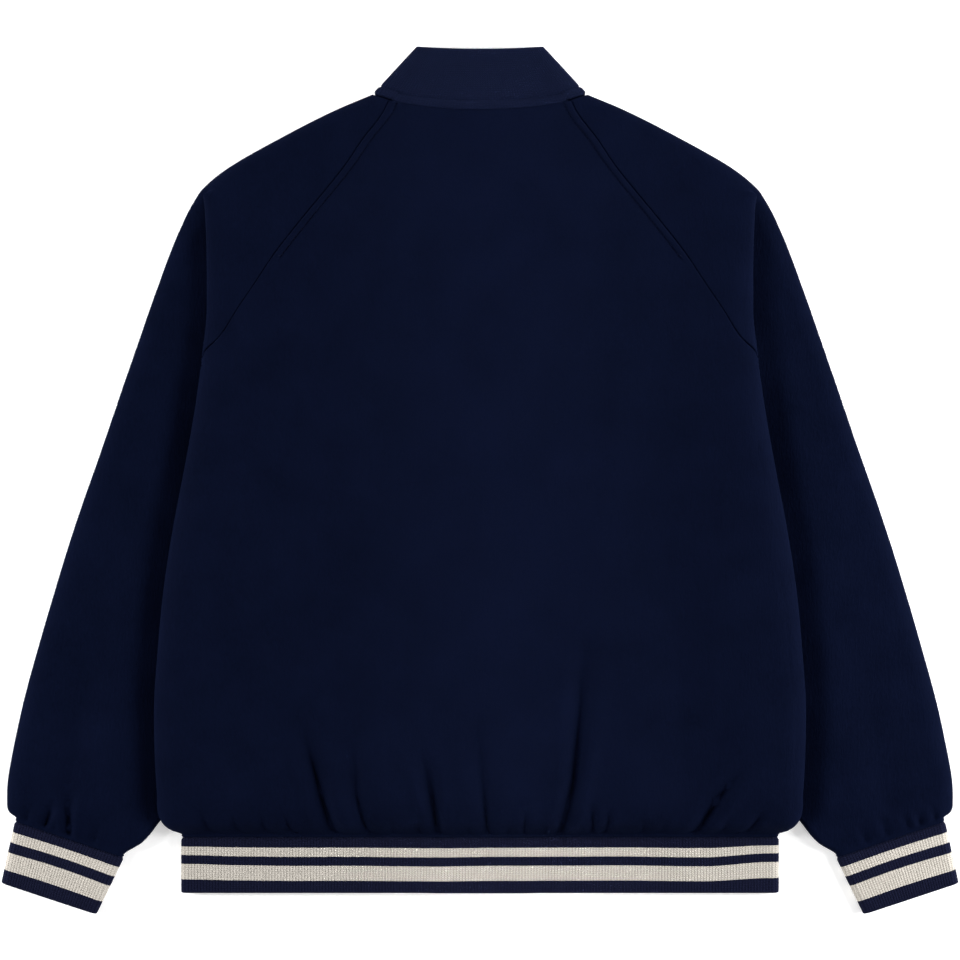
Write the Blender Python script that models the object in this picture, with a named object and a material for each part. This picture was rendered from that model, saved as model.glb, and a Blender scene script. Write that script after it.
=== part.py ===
"""Varsity jacket laid flat on its front, back up, collar towards +Y.

Melton body with raglan sleeves, knitted stand collar, hem band and cuffs. The
body's sides lie over the sleeves, which are drawn down beside it. Every cloth
piece is a wall built on sections across the jacket: a section is a path in the
XZ plane that starts at the middle of the back and ends at the middle of the
front. The wearer's left is at -X. Sizes are in millimetres until MM turns them
into metres.
"""
import math

import bmesh
import bpy
import numpy as np

MM = 0.001

# Cloth
WOOL = 2.4
RIB = 3.0
SEAM_GAP = 0.3
NUDGE = 0.02
SHARE_STEP = 10.0
SIDE_GAP = 0.5
LAYER_STEP = 5.2
WOOL_REST = WOOL / 2
RIB_REST = RIB / 2

# Neck and underarm
NECK_BACK_Y = 324.6
NECK_SIDE = (93.0, 337.7)
NECK_RAGLAN_Y = 332.9
NECK_FRONT_Y = 258.8
FRONT_RAGLAN_TOP = (76.0, 292.0)
UNDERARM_Y = 38.0
UNDERARM_X = 150.0
HEM_SEAM_Y = -313.7
HEM_END_Y = -362.5
HEM_HALF = 261.0
HEM_TOP_Z = 7.9
HEM_BUMP = 2.1
CUFF_TOP_Z = 9.7
COLLAR_HALF = 54.0
COLLAR_BACK_Y = 378.5
COLLAR_SIDE_Y = 380.3
COLLAR_FRONT_Y = 314.0
COLLAR_END = 1.5

# Width of the soft rolls at the edges
FOLD_ROLL = 22.0
OUTER_ROLL = 14.0
NECK_ROLL = 16.0
PLEAT_ROLL = 5.0
INNER_ROLL = 3.6
CUFF_ROLL = 5.0

# Front overlap and snaps
OVERLAP = 15.0
LEFT_FRONT_LIFT = 1.5
RIGHT_FRONT_LIFT = 4.5
LIFT_RUN = 24.0
SNAP_RADIUS = 7.5
SNAP_HEIGHT = 1.2
SNAP_TOP_Y = 240.0
SNAP_STEP = 96.0
SNAP_COUNT = 7

# Half width of the outer edge: (y, x)
OUTER = ((337.7, 93), (324.6, 124), (298, 176), (272, 221), (258, 238.5), (246, 249), (219, 262.7),
         (167, 282.5), (114, 301), (61, 319.3), (UNDERARM_Y, 327))
# Edge of the body where it folds over the sleeve: (y, x)
FOLD = ((254, 241.5), (237, 239.5), (202, 237.7), (149, 237.3), (114, 240.8), (61, 247.8), (9, 257),
        (-44, 267), (-96, 275), (-149, 280), (-202, 283.3), (-272, 281.1), (-298, 278.1), (-307, 269.5),
        (-310.5, HEM_HALF), (HEM_SEAM_Y, HEM_HALF))
# Inner edge of the tucked layer: (y, x)
PLEAT = ((252, 240), (240, 226), (230, 217), (200, 203), (150, 183), (100, 166), (62, 154), (46, 150.5),
         (UNDERARM_Y, 150))
# Back raglan seam, which goes round the fold at y = 108 and runs on under it: (y, x)
RAGLAN = ((NECK_RAGLAN_Y, 79.8), (322.8, 84), (298, 102.4), (276, 117), (254, 134), (228, 155), (197, 179),
          (169, 197.5), (149, 211), (125, 226), (108, 241), (92, 220), (78, 194), (64, 166), (56, 156),
          (UNDERARM_Y, 155))
RAGLAN_TURN_Y = 108.0
# The seam moves on to the tip of the tuck between these two places
TIP_START_Y = 57.0
TIP_END_Y = 46.0
# Heights of the cloth's middle surface:
# (y, centre of back, back beside the fold, sleeve, sleeve under the body)
HEIGHT = ((NECK_RAGLAN_Y, 15, 13, 13, 13), (300, 18, 17, 17, 17), (254, 21, 21, 21, 21),
          (246, 21.5, 23, 12, 11), (230, 22, 26, 13, 10), (200, 22.5, 28, 14, 10),
          (100, 23, 31, 14.5, 9.2), (UNDERARM_Y, 23, 32, 14.5, 5.8), (0, 23, 32, 14.5, 7),
          (-100, 24, 32, 14.5, 7.5), (-200, 26, 31, 15, 7.5), (-262, 28, 29, 15, 6.5),
          (-290, 27, 26, 15, 5), (-302, 21, 20, 12, 4.2), (-307, 13, 13, 9, 2),
          (-310.5, 8.1, 8.1, 8, 1.5), (HEM_SEAM_Y, 7.9, 7.9, 8, 1.5))
# Sleeve below the underarm: (outer x, outer y, inner x, inner y, height of its top layer)
SLEEVE = ((327, UNDERARM_Y, 151, UNDERARM_Y, 14.5), (335, 15, 159, 13, 14.5), (346.5, -17.5, 172, -25, 14.5),
          (360, -58, 188, -71, 14.5), (374, -104, 204, -120, 14.5), (387, -149, 220, -170, 15),
          (399, -193, 234, -214, 15.5), (408, -234, 250, -252, 16), (413, -262, 264, -276, 15.5),
          (414, -280.7, 282, -299, 14), (412.4, -291, 298, -318, 12), (406.3, -296.5, 313.2, -327.5, 10.2),
          (406.9, -299.9, 314.2, -330.9, 10.2))
# Cuff: (outer x, outer y, inner x, inner y)
CUFF = ((406.9, -299.9, 314.2, -330.9), (413, -327, 326.2, -355.8), (419, -354, 338.2, -380.7))
# Gathers above the hem: (x at the hem, x at the top, y at the top, half width, depth)
GATHERS = ((-127, -160, -213, 13, 6.5), (-97, -107, -211, 11, 4.5), (-37, -45, -253, 13, 8),
           (6, -4, -196, 16, 4), (69, 82, -215, 14, 7), (107, 112, -285, 10, 3.5),
           (186, 234, -243, 14, 7))

ROWS_ABOVE = (NECK_RAGLAN_Y, 305, 270, 253, 240, 226, 200, 165, 135, 120, 111, 102, 92, 84, 76, 66, 54,
              46, UNDERARM_Y)
ROWS_BELOW = (UNDERARM_Y, 15, -40, -110, -180, -240, -275, -294, -302, -307, -310.5, HEM_SEAM_Y)
# Columns of half the back from its middle to the fold, round it, and on to the seam
BACK_COLUMNS = (7, 4, 2, 2)
# Columns of a sleeve from the back seam to the tuck's edge, round it, to the outer edge, round it, to the end
SLEEVE_COLUMNS = (6, 4, 3, 3, 2, 2)
CUFF_COLUMNS = 18
COLLAR_COLUMNS = 15
HEM_COLUMNS = 20
# Places of a front's columns between its outer seam and the start of the rise at the overlap, then across it
FRONT_SHARES = (0.0, 0.45, 1.0)
FRONT_STEPS = (42.0, 30.0, 18.0, 0.0, -OVERLAP)

NAVY = (0.0030, 0.0056, 0.0190)
RIB_NAVY = (0.0080, 0.0100, 0.0300)
STEEL = (0.55, 0.56, 0.58)


def smooth(value):
    t = np.clip(value, 0.0, 1.0)
    return t * t * (3.0 - 2.0 * t)


def read(table, y, column=1):
    """A smooth curve through one column of a table whose first column is y, falling."""
    ys = np.array([row[0] for row in table], float)
    values = np.array([row[column] for row in table], float)
    steps = np.diff(values) / np.diff(ys)
    slopes = np.concatenate((steps[:1], (steps[1:] + steps[:-1]) / 2, steps[-1:]))
    slopes[1:-1][steps[1:] * steps[:-1] <= 0] = 0.0
    i = int(np.clip(np.searchsorted(-ys, -y, side="right") - 1, 0, len(ys) - 2))
    span = ys[i + 1] - ys[i]
    t = min(max((y - ys[i]) / span, 0.0), 1.0)
    return ((1 + 2 * t) * (1 - t) ** 2 * values[i] + t * (1 - t) ** 2 * span * slopes[i]
            + t * t * (3 - 2 * t) * values[i + 1] + t * t * (t - 1) * span * slopes[i + 1])


class Path:
    """A section from the middle of the back to the middle of the front, with a share of columns along it."""

    def __init__(self):
        self.x = []
        self.z = []
        self.share = []
        self.marks = {}

    def run(self, x0, x1, height, name, extra=0.0):
        """A nearly level stretch; height(x) gives its z."""
        self.marks[name] = max(len(self.x) - 1, 0)
        for x in np.linspace(x0, x1, 41):
            self.add(x, float(height(x)), extra / 40)
        self.marks[name + "_end"] = len(self.x) - 1

    def turn(self, x, width, z0, z1, side, name, extra):
        """Half an ellipse from z0 to z1, which bulges to +x (side 1) or -x (side -1)."""
        self.marks[name] = max(len(self.x) - 1, 0)
        for angle in np.linspace(0, math.pi, 25):
            middle = (z0 + z1) / 2
            self.add(x + side * width * math.sin(angle), middle + (z0 - z1) / 2 * math.cos(angle), extra / 24)
        self.marks[name + "_end"] = len(self.x) - 1

    def add(self, x, z, extra):
        share = 0.0
        if self.x:
            step = math.hypot(x - self.x[-1], z - self.z[-1])
            if step < 1e-6:
                return
            share = self.share[-1] + step / SHARE_STEP + extra
        self.x.append(x)
        self.z.append(z)
        self.share.append(share)

    def middle(self, name):
        return (self.marks[name] + self.marks[name + "_end"]) // 2

    def at_x(self, x, first, last):
        """The share at which the path crosses x between two of its points."""
        xs = np.array(self.x[first:last + 1])
        shares = np.array(self.share[first:last + 1])
        order = np.argsort(xs)
        return float(np.interp(x, xs[order], shares[order]))

    def shift(self, share, distance):
        """The share that lies a distance further along the path."""
        lengths = np.concatenate(([0.0], np.cumsum(np.hypot(np.diff(self.x), np.diff(self.z)))))
        place = np.interp(share, self.share, lengths) + distance
        return float(np.interp(place, lengths, self.share))

    def trace(self, shares, place):
        """Points and tangents at some shares of the path; place(x, z, share) puts a point in space."""
        points = []
        for share in shares:
            ends = (max(share - NUDGE, self.share[0]), share, min(share + NUDGE, self.share[-1]))
            before, here, after = [np.array(place(float(np.interp(s, self.share, self.x)),
                                                  float(np.interp(s, self.share, self.z)), s)) for s in ends]
            points.append((here, after - before))
        return points


def back_height(x, y, fold_x):
    """Height of the back's upper surface, higher beside the fold than at the centre."""
    centre = read(HEIGHT, y, 1)
    side = read(HEIGHT, y, 2)
    return centre + (side - centre) * smooth(abs(x) / max(fold_x - FOLD_ROLL, 1.0)) ** 1.3


def front_height(x, lift, rest=WOOL_REST):
    """Height of a front near the overlap: raised where it passes over snaps or the other front."""
    return rest + lift * (1.0 - smooth((x - OVERLAP - 3.0) / LIFT_RUN))


def sleeve_height(x, y, inner, fold_x):
    """Height of the sleeve's upper layer: low under the body, full beside it."""
    low = read(HEIGHT, y, 4)
    full = read(HEIGHT, y, 3)
    return low + (full - low) * smooth((x - fold_x + 5.0) / 32.0)


def edge_slope(table, y):
    """How much wider than its true width a roll lies along a level section."""
    slope = (read(table, y - 4.0) - read(table, y + 4.0)) / 8.0
    return math.sqrt(1.0 + slope * slope)


def neck_lift(y):
    """How much higher a section ends at the shoulder than at the back raglan seam."""
    return (NECK_SIDE[1] - NECK_RAGLAN_Y) * smooth((y - 300.0) / (NECK_RAGLAN_Y - 300.0))


def outer_edge(y):
    return read(OUTER, y + neck_lift(y))


def upper_path(y, lift):
    """Section above the underarm: back, fold, tucked layer, sleeve, outer roll and front in one path."""
    path = Path()
    outer = outer_edge(y)
    fold_x = read(FOLD, y)
    pleat_x = read(PLEAT, y)
    depth = fold_x - pleat_x
    full = min(depth / (FOLD_ROLL + PLEAT_ROLL), 1.0)
    tuck = read(HEIGHT, y, 4)
    if depth <= 0.5 or y > 250:
        roll = NECK_ROLL + (FOLD_ROLL - NECK_ROLL) * smooth((NECK_RAGLAN_Y - y) / 60.0)
        top = lambda x: back_height(x, y, outer)
        path.run(0, outer - roll, top, "top")
        path.turn(outer - roll, roll, top(outer - roll), WOOL_REST, 1, "outer", 5.0)
        path.run(outer - roll, -OVERLAP, lambda x: front_height(x, lift), "bottom")
        return path
    fold_roll = FOLD_ROLL * full
    pleat_roll = PLEAT_ROLL * full
    roll = min(OUTER_ROLL, outer - fold_x - 1.0)
    top = lambda x: back_height(x, y, fold_x)
    layer = lambda x: sleeve_height(x, y, pleat_x, fold_x)
    path.run(0, fold_x - fold_roll, top, "top")
    path.turn(fold_x - fold_roll, fold_roll, top(fold_x - fold_roll), tuck + LAYER_STEP, 1, "fold",
              3.0 * full)
    path.run(fold_x - fold_roll, pleat_x + pleat_roll, lambda x: tuck + LAYER_STEP, "under")
    path.turn(pleat_x + pleat_roll, pleat_roll, tuck + LAYER_STEP, layer(pleat_x), -1, "pleat", 3.0 * full)
    path.run(pleat_x + pleat_roll, outer - roll, layer, "layer")
    path.turn(outer - roll, roll, layer(outer - roll), WOOL_REST, 1, "outer", 3.0)
    path.run(outer - roll, -OVERLAP, lambda x: front_height(x, lift), "bottom")
    return path


def sleeve_edge(y):
    """Half distance of the sleeve's inner edge below the underarm."""
    ys = [row[3] for row in reversed(SLEEVE)]
    xs = [row[2] for row in reversed(SLEEVE)]
    return float(np.interp(y, ys, xs))


def lower_path(y, lift):
    """Section of the body below the underarm: back, fold, underside over the sleeve, front."""
    path = Path()
    fold_x = read(FOLD, y)
    inner = sleeve_edge(y)
    near = smooth((UNDERARM_Y - y) / 40.0)
    ramp_top = inner + 2.0 - 6.0 * near
    ramp_foot = inner - 12.0 - 23.0 * near
    rest = WOOL_REST + (RIB_REST - WOOL_REST) * smooth((-y - 300.0) / 10.5)
    over = read(HEIGHT, y, 4) + LAYER_STEP * (1.0 - smooth((-y - 299.0) / 8.0)) - rest
    roll = lower_roll(y)
    hem = smooth((-y - 300.0) / 10.5)
    top = lambda x: back_height(x, y, fold_x) + hem * HEM_BUMP * (1.0 - smooth((x - 34.0) / 24.0))

    def bottom(x):
        flat = front_height(x, lift + hem * 0.5 * (lift > 2.0), rest)
        return flat + over * smooth((x - ramp_foot) / (ramp_top - ramp_foot))

    path.run(0, fold_x - roll, top, "top")
    path.turn(fold_x - roll, roll, top(fold_x - roll), bottom(fold_x - roll), 1, "fold", 3.0)
    path.run(fold_x - roll, -OVERLAP, bottom, "bottom")
    return path


def lower_roll(y):
    return FOLD_ROLL - (FOLD_ROLL - 5.0) * smooth((-y - 285.0) / 25.5)


def side_seam(y):
    below = smooth((UNDERARM_Y - y) / 40.0)
    return min(sleeve_edge(y) - 5.0 + 13.0 * below, read(FOLD, y) - lower_roll(y) - 6.0)


def level(y, name, x, raglan_x, outer_x, front_x):
    """The y of a point on a section: level, but curved at the neck and lower at the front."""
    above = (y - UNDERARM_Y) / (NECK_RAGLAN_Y - UNDERARM_Y)
    sag = (NECK_RAGLAN_Y - NECK_BACK_Y) * smooth((y - 262.0) / (NECK_RAGLAN_Y - 262.0))
    lift = neck_lift(y)
    drop = (NECK_RAGLAN_Y - FRONT_RAGLAN_TOP[1]) * max(above, 0.0) ** 1.5
    fall = (FRONT_RAGLAN_TOP[1] - NECK_FRONT_Y) * max(above - 0.35, 0.0) ** 2 / 0.65 ** 2
    if name == "front":
        if x < front_x:
            return y - drop - fall * (1.0 - abs(x / front_x) ** 2.2)
        return y - drop + (drop + lift) * smooth((x - front_x) / max(outer_x - front_x, 1.0))
    if x < raglan_x:
        return y - sag * (1.0 - (x / raglan_x) ** 2.2)
    return y + lift * min((x - raglan_x) / max(outer_x - raglan_x, 1.0), 1.0)


def front_raglan(y):
    """Half distance of the front raglan seam on the section of a given y."""
    above = (y - UNDERARM_Y) / (NECK_RAGLAN_Y - UNDERARM_Y)
    return UNDERARM_X - 2.0 - (UNDERARM_X - 2.0 - FRONT_RAGLAN_TOP[0]) * above ** 0.9


def raglan_share(path, y, x):
    """The share of the back raglan seam: on the upper side above its turn, on the underside below it."""
    if "fold" not in path.marks:
        return path.at_x(x, 0, path.marks["top_end"])
    if y > RAGLAN_TURN_Y:
        return path.at_x(x, 0, path.middle("fold"))
    if y > TIP_START_Y:
        return path.at_x(x, path.middle("fold"), path.marks["under_end"])
    start = path.share[path.marks["pleat"]]
    tip = path.share[path.middle("pleat")]
    return start + (tip - start) * min((TIP_START_Y - y) / (TIP_START_Y - TIP_END_Y), 1.0)


def front_shares(path, start):
    """Shares of a front's columns, from its outer seam at start to its free edge."""
    rise = path.at_x(FRONT_STEPS[0], path.marks["bottom"], path.marks["bottom_end"])
    steps = [path.at_x(x, path.marks["bottom"], path.marks["bottom_end"]) for x in FRONT_STEPS[1:]]
    return [start + (rise - start) * t for t in FRONT_SHARES] + steps


def spread(stops, counts):
    """Shares between the stops of a section, so many in each stretch."""
    shares = [stops[0]]
    for first, last, count in zip(stops, stops[1:], counts):
        shares += [first + (last - first) * (k + 1) / count for k in range(count)]
    return shares


def sleeve_shares(path, start, end):
    """Shares of an open section of the sleeve; without a tuck its columns lie on the outer roll."""
    share = path.share
    first, last = share[path.marks["outer"]], share[path.marks["outer_end"]]
    if "pleat" in path.marks:
        far = share[path.marks["pleat_end"]]
        near = max(share[path.marks["pleat"]], start + 0.2 * (far - start))
        return spread((start, near, far, first, last, last + 0.95 * (end - last), end), SLEEVE_COLUMNS)
    roll = last - first
    stops = (start, first + 0.3 * roll, first + 0.42 * roll, first + 0.5 * roll, last,
             last + 0.95 * (end - last), end)
    return spread(stops, SLEEVE_COLUMNS)


def back_shares(path, y, end):
    """Shares of half the back: even where its seam lies on the upper side, then gathered on the fold."""
    even = np.linspace(0.0, end, sum(BACK_COLUMNS) + 1)
    if "fold" not in path.marks or y > RAGLAN_TURN_Y:
        return even
    around = min(path.share[path.marks["fold_end"]], end - 0.8)
    edge = path.share[path.marks["pleat"]] if "pleat" in path.marks else path.at_x(
        sleeve_edge(y) + 3.0, path.marks["bottom"], path.marks["bottom_end"])
    far = edge if around + 0.5 < edge < end - 0.2 else around + 0.6 * (end - around)
    stops = (0.0, path.share[path.marks["fold"]], around, far, end)
    weight = smooth((RAGLAN_TURN_Y - y) / 40.0)
    return even * (1.0 - weight) + np.array(spread(stops, BACK_COLUMNS)) * weight


def upper_rows(side):
    """Back half, sleeve and front points on each section above the underarm."""
    lift = RIGHT_FRONT_LIFT if side > 0 else LEFT_FRONT_LIFT
    rows = {"back": [], "sleeve": [], "front": []}
    for y in ROWS_ABOVE[:-1]:
        path = upper_path(y, lift)
        raglan_x = read(RAGLAN, y)
        outer_x = outer_edge(y)
        front_x = front_raglan(y)
        back_seam = raglan_share(path, y, raglan_x)
        front_seam = path.at_x(front_x, path.marks["bottom"], path.marks["bottom_end"])
        turned = path.share[path.middle("outer")]
        gap = SEAM_GAP / 2 * (edge_slope(RAGLAN, y) + 3.5 * smooth(1.0 - abs(y - RAGLAN_TURN_Y) / 30.0)
                              + 3.0 * smooth((80.0 - y) / 20.0))
        start, end = path.shift(back_seam, gap), path.shift(front_seam, -SEAM_GAP / 2)

        def place(x, z, share):
            face = "front" if share > turned else "back"
            return side * x, level(y, face, x, raglan_x, outer_x, front_x), z

        rows["back"].append(path.trace(back_shares(path, y, path.shift(back_seam, -gap)), place))
        rows["sleeve"].append(path.trace(sleeve_shares(path, start, end), place))
        rows["front"].append(path.trace(front_shares(path, path.shift(front_seam, SEAM_GAP / 2)), place))
    return rows


def gather_depth(x, y):
    """How far the gathers above the hem press the back in."""
    depth = 0.0
    for hem_x, top_x, top_y, half, deep in GATHERS:
        t = (y - HEM_SEAM_Y) / (top_y - HEM_SEAM_Y)
        if t < 1.0:
            along = smooth(1.0 - t) * smooth((y - HEM_SEAM_Y - 3.5) / 12.0)
            depth += deep * along * math.exp(-((x - hem_x - (top_x - hem_x) * t) / half) ** 2)
    return depth


def lower_rows(side):
    """Back half and front points on each section below the underarm."""
    lift = RIGHT_FRONT_LIFT if side > 0 else LEFT_FRONT_LIFT
    rows = {"back": [], "front": []}
    for y in ROWS_BELOW:
        path = lower_path(y, lift)
        seam = path.at_x(side_seam(y), path.marks["bottom"], path.marks["bottom_end"])
        gap = SIDE_GAP / 2 * (1.0 + 3.0 * smooth((y + 10.0) / 30.0))
        end = path.shift(seam, -gap)
        line = y + SEAM_GAP / 2 if y == HEM_SEAM_Y else y
        limit = path.share[path.marks["top_end"]]
        edge = path.x[path.marks["top_end"]]

        def place(x, z, share):
            fold = gather_depth(side * x, y) * smooth((edge + 8.0 - x) / 30.0) if share < limit else 0.0
            return side * x, line, z - fold

        rows["back"].append(path.trace(back_shares(path, y, end), place))
        rows["front"].append(path.trace(front_shares(path, path.shift(seam, gap)), place))
    return rows


def sleeve_ring(number, side):
    """A closed section of the sleeve: from its inner edge over the top, round the outer edge, back below."""
    outer_x, outer_y, inner_x, inner_y, full = SLEEVE[number]
    last = number >= len(SLEEVE) - 2
    width = math.hypot(outer_x - inner_x, outer_y - inner_y)
    roll = CUFF_ROLL if last else OUTER_ROLL
    rest = RIB_REST if last else WOOL_REST
    low = min(read(HEIGHT, inner_y, 4), full) if inner_y > -300 else min(full, 10.0)
    path = Path()

    def top(s):
        x = inner_x + (outer_x - inner_x) * s / width
        y = inner_y + (outer_y - inner_y) * s / width
        t = smooth((x - read(FOLD, y) + 5.0) / 32.0)
        return low + (full - low) * t

    inner_roll = CUFF_ROLL if last else INNER_ROLL
    path.turn(inner_roll, inner_roll, rest, top(inner_roll), -1, "inner", 2.0)
    path.run(inner_roll, width - roll, top, "layer")
    path.turn(width - roll, roll, top(width - roll), rest, 1, "outer", 3.0)
    path.run(width - roll, inner_roll, lambda s: rest, "bottom")
    start = path.share[path.middle("inner")]
    total = path.share[-1]
    open_out = min(number, 3) / 3
    rise = path.share[path.marks["inner_end"]] - start
    near = start + rise * (0.25 + 0.5 * open_out)
    beyond = path.at_x(inner_roll + 30.0, path.marks["layer"], path.marks["layer_end"])
    far = start + rise + (beyond - start - rise) * open_out
    stops = (start, near, far, path.share[path.marks["outer"]], path.share[path.marks["outer_end"]], total,
             start + total)

    def place(s, z, share):
        t = s / width
        return side * (inner_x + (outer_x - inner_x) * t), inner_y + (outer_y - inner_y) * t, z

    shares = spread(stops, SLEEVE_COLUMNS)[:-1]
    return path.trace([share - total * (share > total) for share in shares], place)


def halves_of(a, b, c, d, points):
    """Two triangles of a four-sided face, cut along its shorter diagonal."""
    if np.linalg.norm(points[a] - points[c]) <= np.linalg.norm(points[b] - points[d]):
        return [a, b, c], [a, c, d]
    return [a, b, d], [b, c, d]


def cloth(name, rows, closed_from, thickness, colour, crotches=()):
    """A wall of even thickness on rows of points and tangents; rows from closed_from on are rings.

    The crotches are the (row, column) places at the underarm, where the wall stands across the sleeve.
    """
    middle = []
    normals = []
    index = []
    for r, row in enumerate(rows):
        index.append(list(range(len(middle), len(middle) + len(row))))
        above = rows[r - 1] if r > 0 and r != closed_from else row
        below = rows[r + 1] if r + 1 < len(rows) and r + 1 != closed_from else row
        for c, (point, tangent) in enumerate(row):
            normal = np.cross(tangent, below[c][0] - above[c][0])
            if (r, c) in crotches:
                normal = np.array((0.0, 1.0, 0.0))
            middle.append(point)
            normals.append(normal / np.linalg.norm(normal))
        if closed_from is not None and r >= closed_from:
            index[-1].append(index[-1][0])
    count = len(middle)
    points = [p + n * thickness / 2 for p, n in zip(middle, normals)]
    points += [p - n * thickness / 2 for p, n in zip(middle, normals)]
    faces = []
    edges = set()
    for upper, lower in zip(index, index[1:]):
        for c in range(len(upper) - 1):
            for face in halves_of(upper[c], upper[c + 1], lower[c + 1], lower[c], middle):
                faces.append(face)
                faces.append([v + count for v in reversed(face)])
                edges.update((face[k - 1], v) for k, v in enumerate(face))
    for a, b in sorted(edges):
        if (b, a) not in edges:
            faces.append([b, a, a + count, b + count])
    mesh = bpy.data.meshes.new(name)
    mesh.from_pydata([tuple(p * MM) for p in points], [], faces)
    shape = bmesh.new()
    shape.from_mesh(mesh)
    bmesh.ops.recalc_face_normals(shape, faces=shape.faces)
    shape.to_mesh(mesh)
    shape.free()
    mesh.shade_smooth()
    mesh.set_sharp_from_angle(angle=math.radians(50))
    obj = bpy.data.objects.new(name, mesh)
    bpy.context.scene.collection.objects.link(obj)
    obj.data.materials.append(material(name + "_cloth", colour, 0.9, 0.0))
    return obj


def material(name, colour, roughness, metallic):
    surface = bpy.data.materials.new(name)
    surface.use_nodes = True
    shader = surface.node_tree.nodes["Principled BSDF"]
    shader.inputs["Base Color"].default_value = (*colour, 1.0)
    shader.inputs["Roughness"].default_value = roughness
    shader.inputs["Metallic"].default_value = metallic
    return surface


def mirrored_back(left, right):
    """Whole rows of the back from the half rows of each side, which share the centre point."""
    return [joined(l, r) for l, r in zip(left, right)]


def joined(left, right):
    """One row from two halves that start at the same point, with all tangents from left to right."""
    return [(point, -tangent) for point, tangent in left[:0:-1]] + right


def body_and_sleeves():
    sides = {}
    for name, side in (("left", -1), ("right", 1)):
        above = upper_rows(side)
        below = lower_rows(side)
        sides[name] = above["back"] + below["back"]
        fronts = above["front"] + below["front"]
        cloth("front_" + name, fronts, None, WOOL, NAVY)
        rings = [sleeve_ring(number, side) for number in range(len(SLEEVE))]
        rings[-1] = drawn_back(rings[-1], side)
        first_ring = len(above["sleeve"])
        cloth("sleeve_" + name, above["sleeve"] + rings, first_ring, WOOL, NAVY, ((first_ring, 0),))
        cloth("cuff_" + name, cuff_rows(side), 0, RIB, RIB_NAVY)
    cloth("back", mirrored_back(sides["left"], sides["right"]), None, WOOL, NAVY)


def cuff_axis():
    (x0, y0, x1, y1), (x2, y2, x3, y3) = CUFF[0], CUFF[-1]
    run = math.hypot(x2 + x3 - x0 - x1, y2 + y3 - y0 - y1)
    return (x2 + x3 - x0 - x1) / run, (y2 + y3 - y0 - y1) / run


def drawn_back(ring, side):
    """A sleeve's last section, moved back from the cuff by the seam gap."""
    dx, dy = cuff_axis()
    return [(point - np.array((side * dx, dy, 0.0)) * SEAM_GAP, tangent) for point, tangent in ring]


def cuff_rows(side):
    rows = []
    for outer_x, outer_y, inner_x, inner_y in CUFF:
        width = math.hypot(outer_x - inner_x, outer_y - inner_y)
        path = Path()
        path.turn(CUFF_ROLL, CUFF_ROLL, RIB_REST, CUFF_TOP_Z, -1, "inner", 3.0)
        path.run(CUFF_ROLL, width - CUFF_ROLL, lambda s: CUFF_TOP_Z, "top")
        path.turn(width - CUFF_ROLL, CUFF_ROLL, CUFF_TOP_Z, RIB_REST, 1, "outer", 3.0)
        path.run(width - CUFF_ROLL, CUFF_ROLL, lambda s: RIB_REST, "bottom")

        def place(s, z, share):
            t = s / width
            return side * (inner_x + (outer_x - inner_x) * t), inner_y + (outer_y - inner_y) * t, z

        rows.append(path.trace([path.share[-1] * k / CUFF_COLUMNS for k in range(CUFF_COLUMNS)], place))
    return rows


def hem_band():
    """One knitted strip round the hem, from the left end over the back to the right end."""
    rows = []
    for y in (HEM_SEAM_Y - SEAM_GAP / 2, (HEM_SEAM_Y + HEM_END_Y) / 2, HEM_END_Y):
        halves = []
        for side, lift in ((-1, LEFT_FRONT_LIFT), (1, RIGHT_FRONT_LIFT + 0.5)):
            roll = 5.0
            path = Path()
            path.run(0, HEM_HALF - roll,
                     lambda x: HEM_TOP_Z + HEM_BUMP * (1.0 - smooth((x - 34.0) / 24.0)), "top")
            path.turn(HEM_HALF - roll, roll, HEM_TOP_Z, RIB_REST, 1, "fold", 4.0)
            path.run(HEM_HALF - roll, -OVERLAP, lambda x: front_height(max(x, 0.0), lift, RIB_REST), "bottom")
            halves.append(path.trace(np.linspace(0.0, path.share[-1], HEM_COLUMNS + 1),
                                     lambda x, z, share: (side * x, y, z)))
        rows.append(joined(*halves))
    cloth("hem_band", rows, None, RIB, RIB_NAVY)


def collar():
    """One knitted strip round the neck: the back lies on top, both ends meet at the middle of the front."""
    rows = []
    for t in (0.0, 0.3, 0.65, 1.0):
        half = NECK_SIDE[0] + (COLLAR_HALF - NECK_SIDE[0]) * t
        roll = NECK_ROLL + (8.0 - NECK_ROLL) * t
        halves = []
        for side, lift in ((-1, LEFT_FRONT_LIFT), (1, RIGHT_FRONT_LIFT)):
            path = Path()
            path.run(0, half - roll, lambda x: collar_height(x * NECK_SIDE[0] / half, t), "top")
            path.turn(half - roll, roll, path.z[-1], RIB_REST, 1, "fold", 7.0)
            path.run(half - roll, COLLAR_END, lambda x: front_height(x, lift * (1.0 - t), RIB_REST), "bottom")
            turned = path.share[path.middle("fold")]

            def place(x, z, share):
                face = "front" if share > turned else "back"
                seam = level(NECK_RAGLAN_Y, face, x * NECK_SIDE[0] / half, RAGLAN[0][1], NECK_SIDE[0],
                             FRONT_RAGLAN_TOP[0])
                edge = collar_edge(x / half, face)
                gap = (0.4 if face == "back" and x < 76.0 else 1.4) * (t == 0.0)
                return side * (x - 0.5 * gap), seam + (edge - seam) * t + gap, z

            halves.append(path.trace(np.linspace(0.0, path.share[-1], COLLAR_COLUMNS + 1), place))
        rows.append(joined(*halves))
    cloth("collar", rows, None, RIB, RIB_NAVY)


def collar_height(x, t):
    """Height of the collar's upper layer, which meets the back at the neck and sinks to its free edge."""
    low = 13.0 - 4.0 * t
    return low + 2.0 * (1.0 - t) * (1.0 - smooth(x / (NECK_SIDE[0] - FOLD_ROLL)) ** 1.3)


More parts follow.
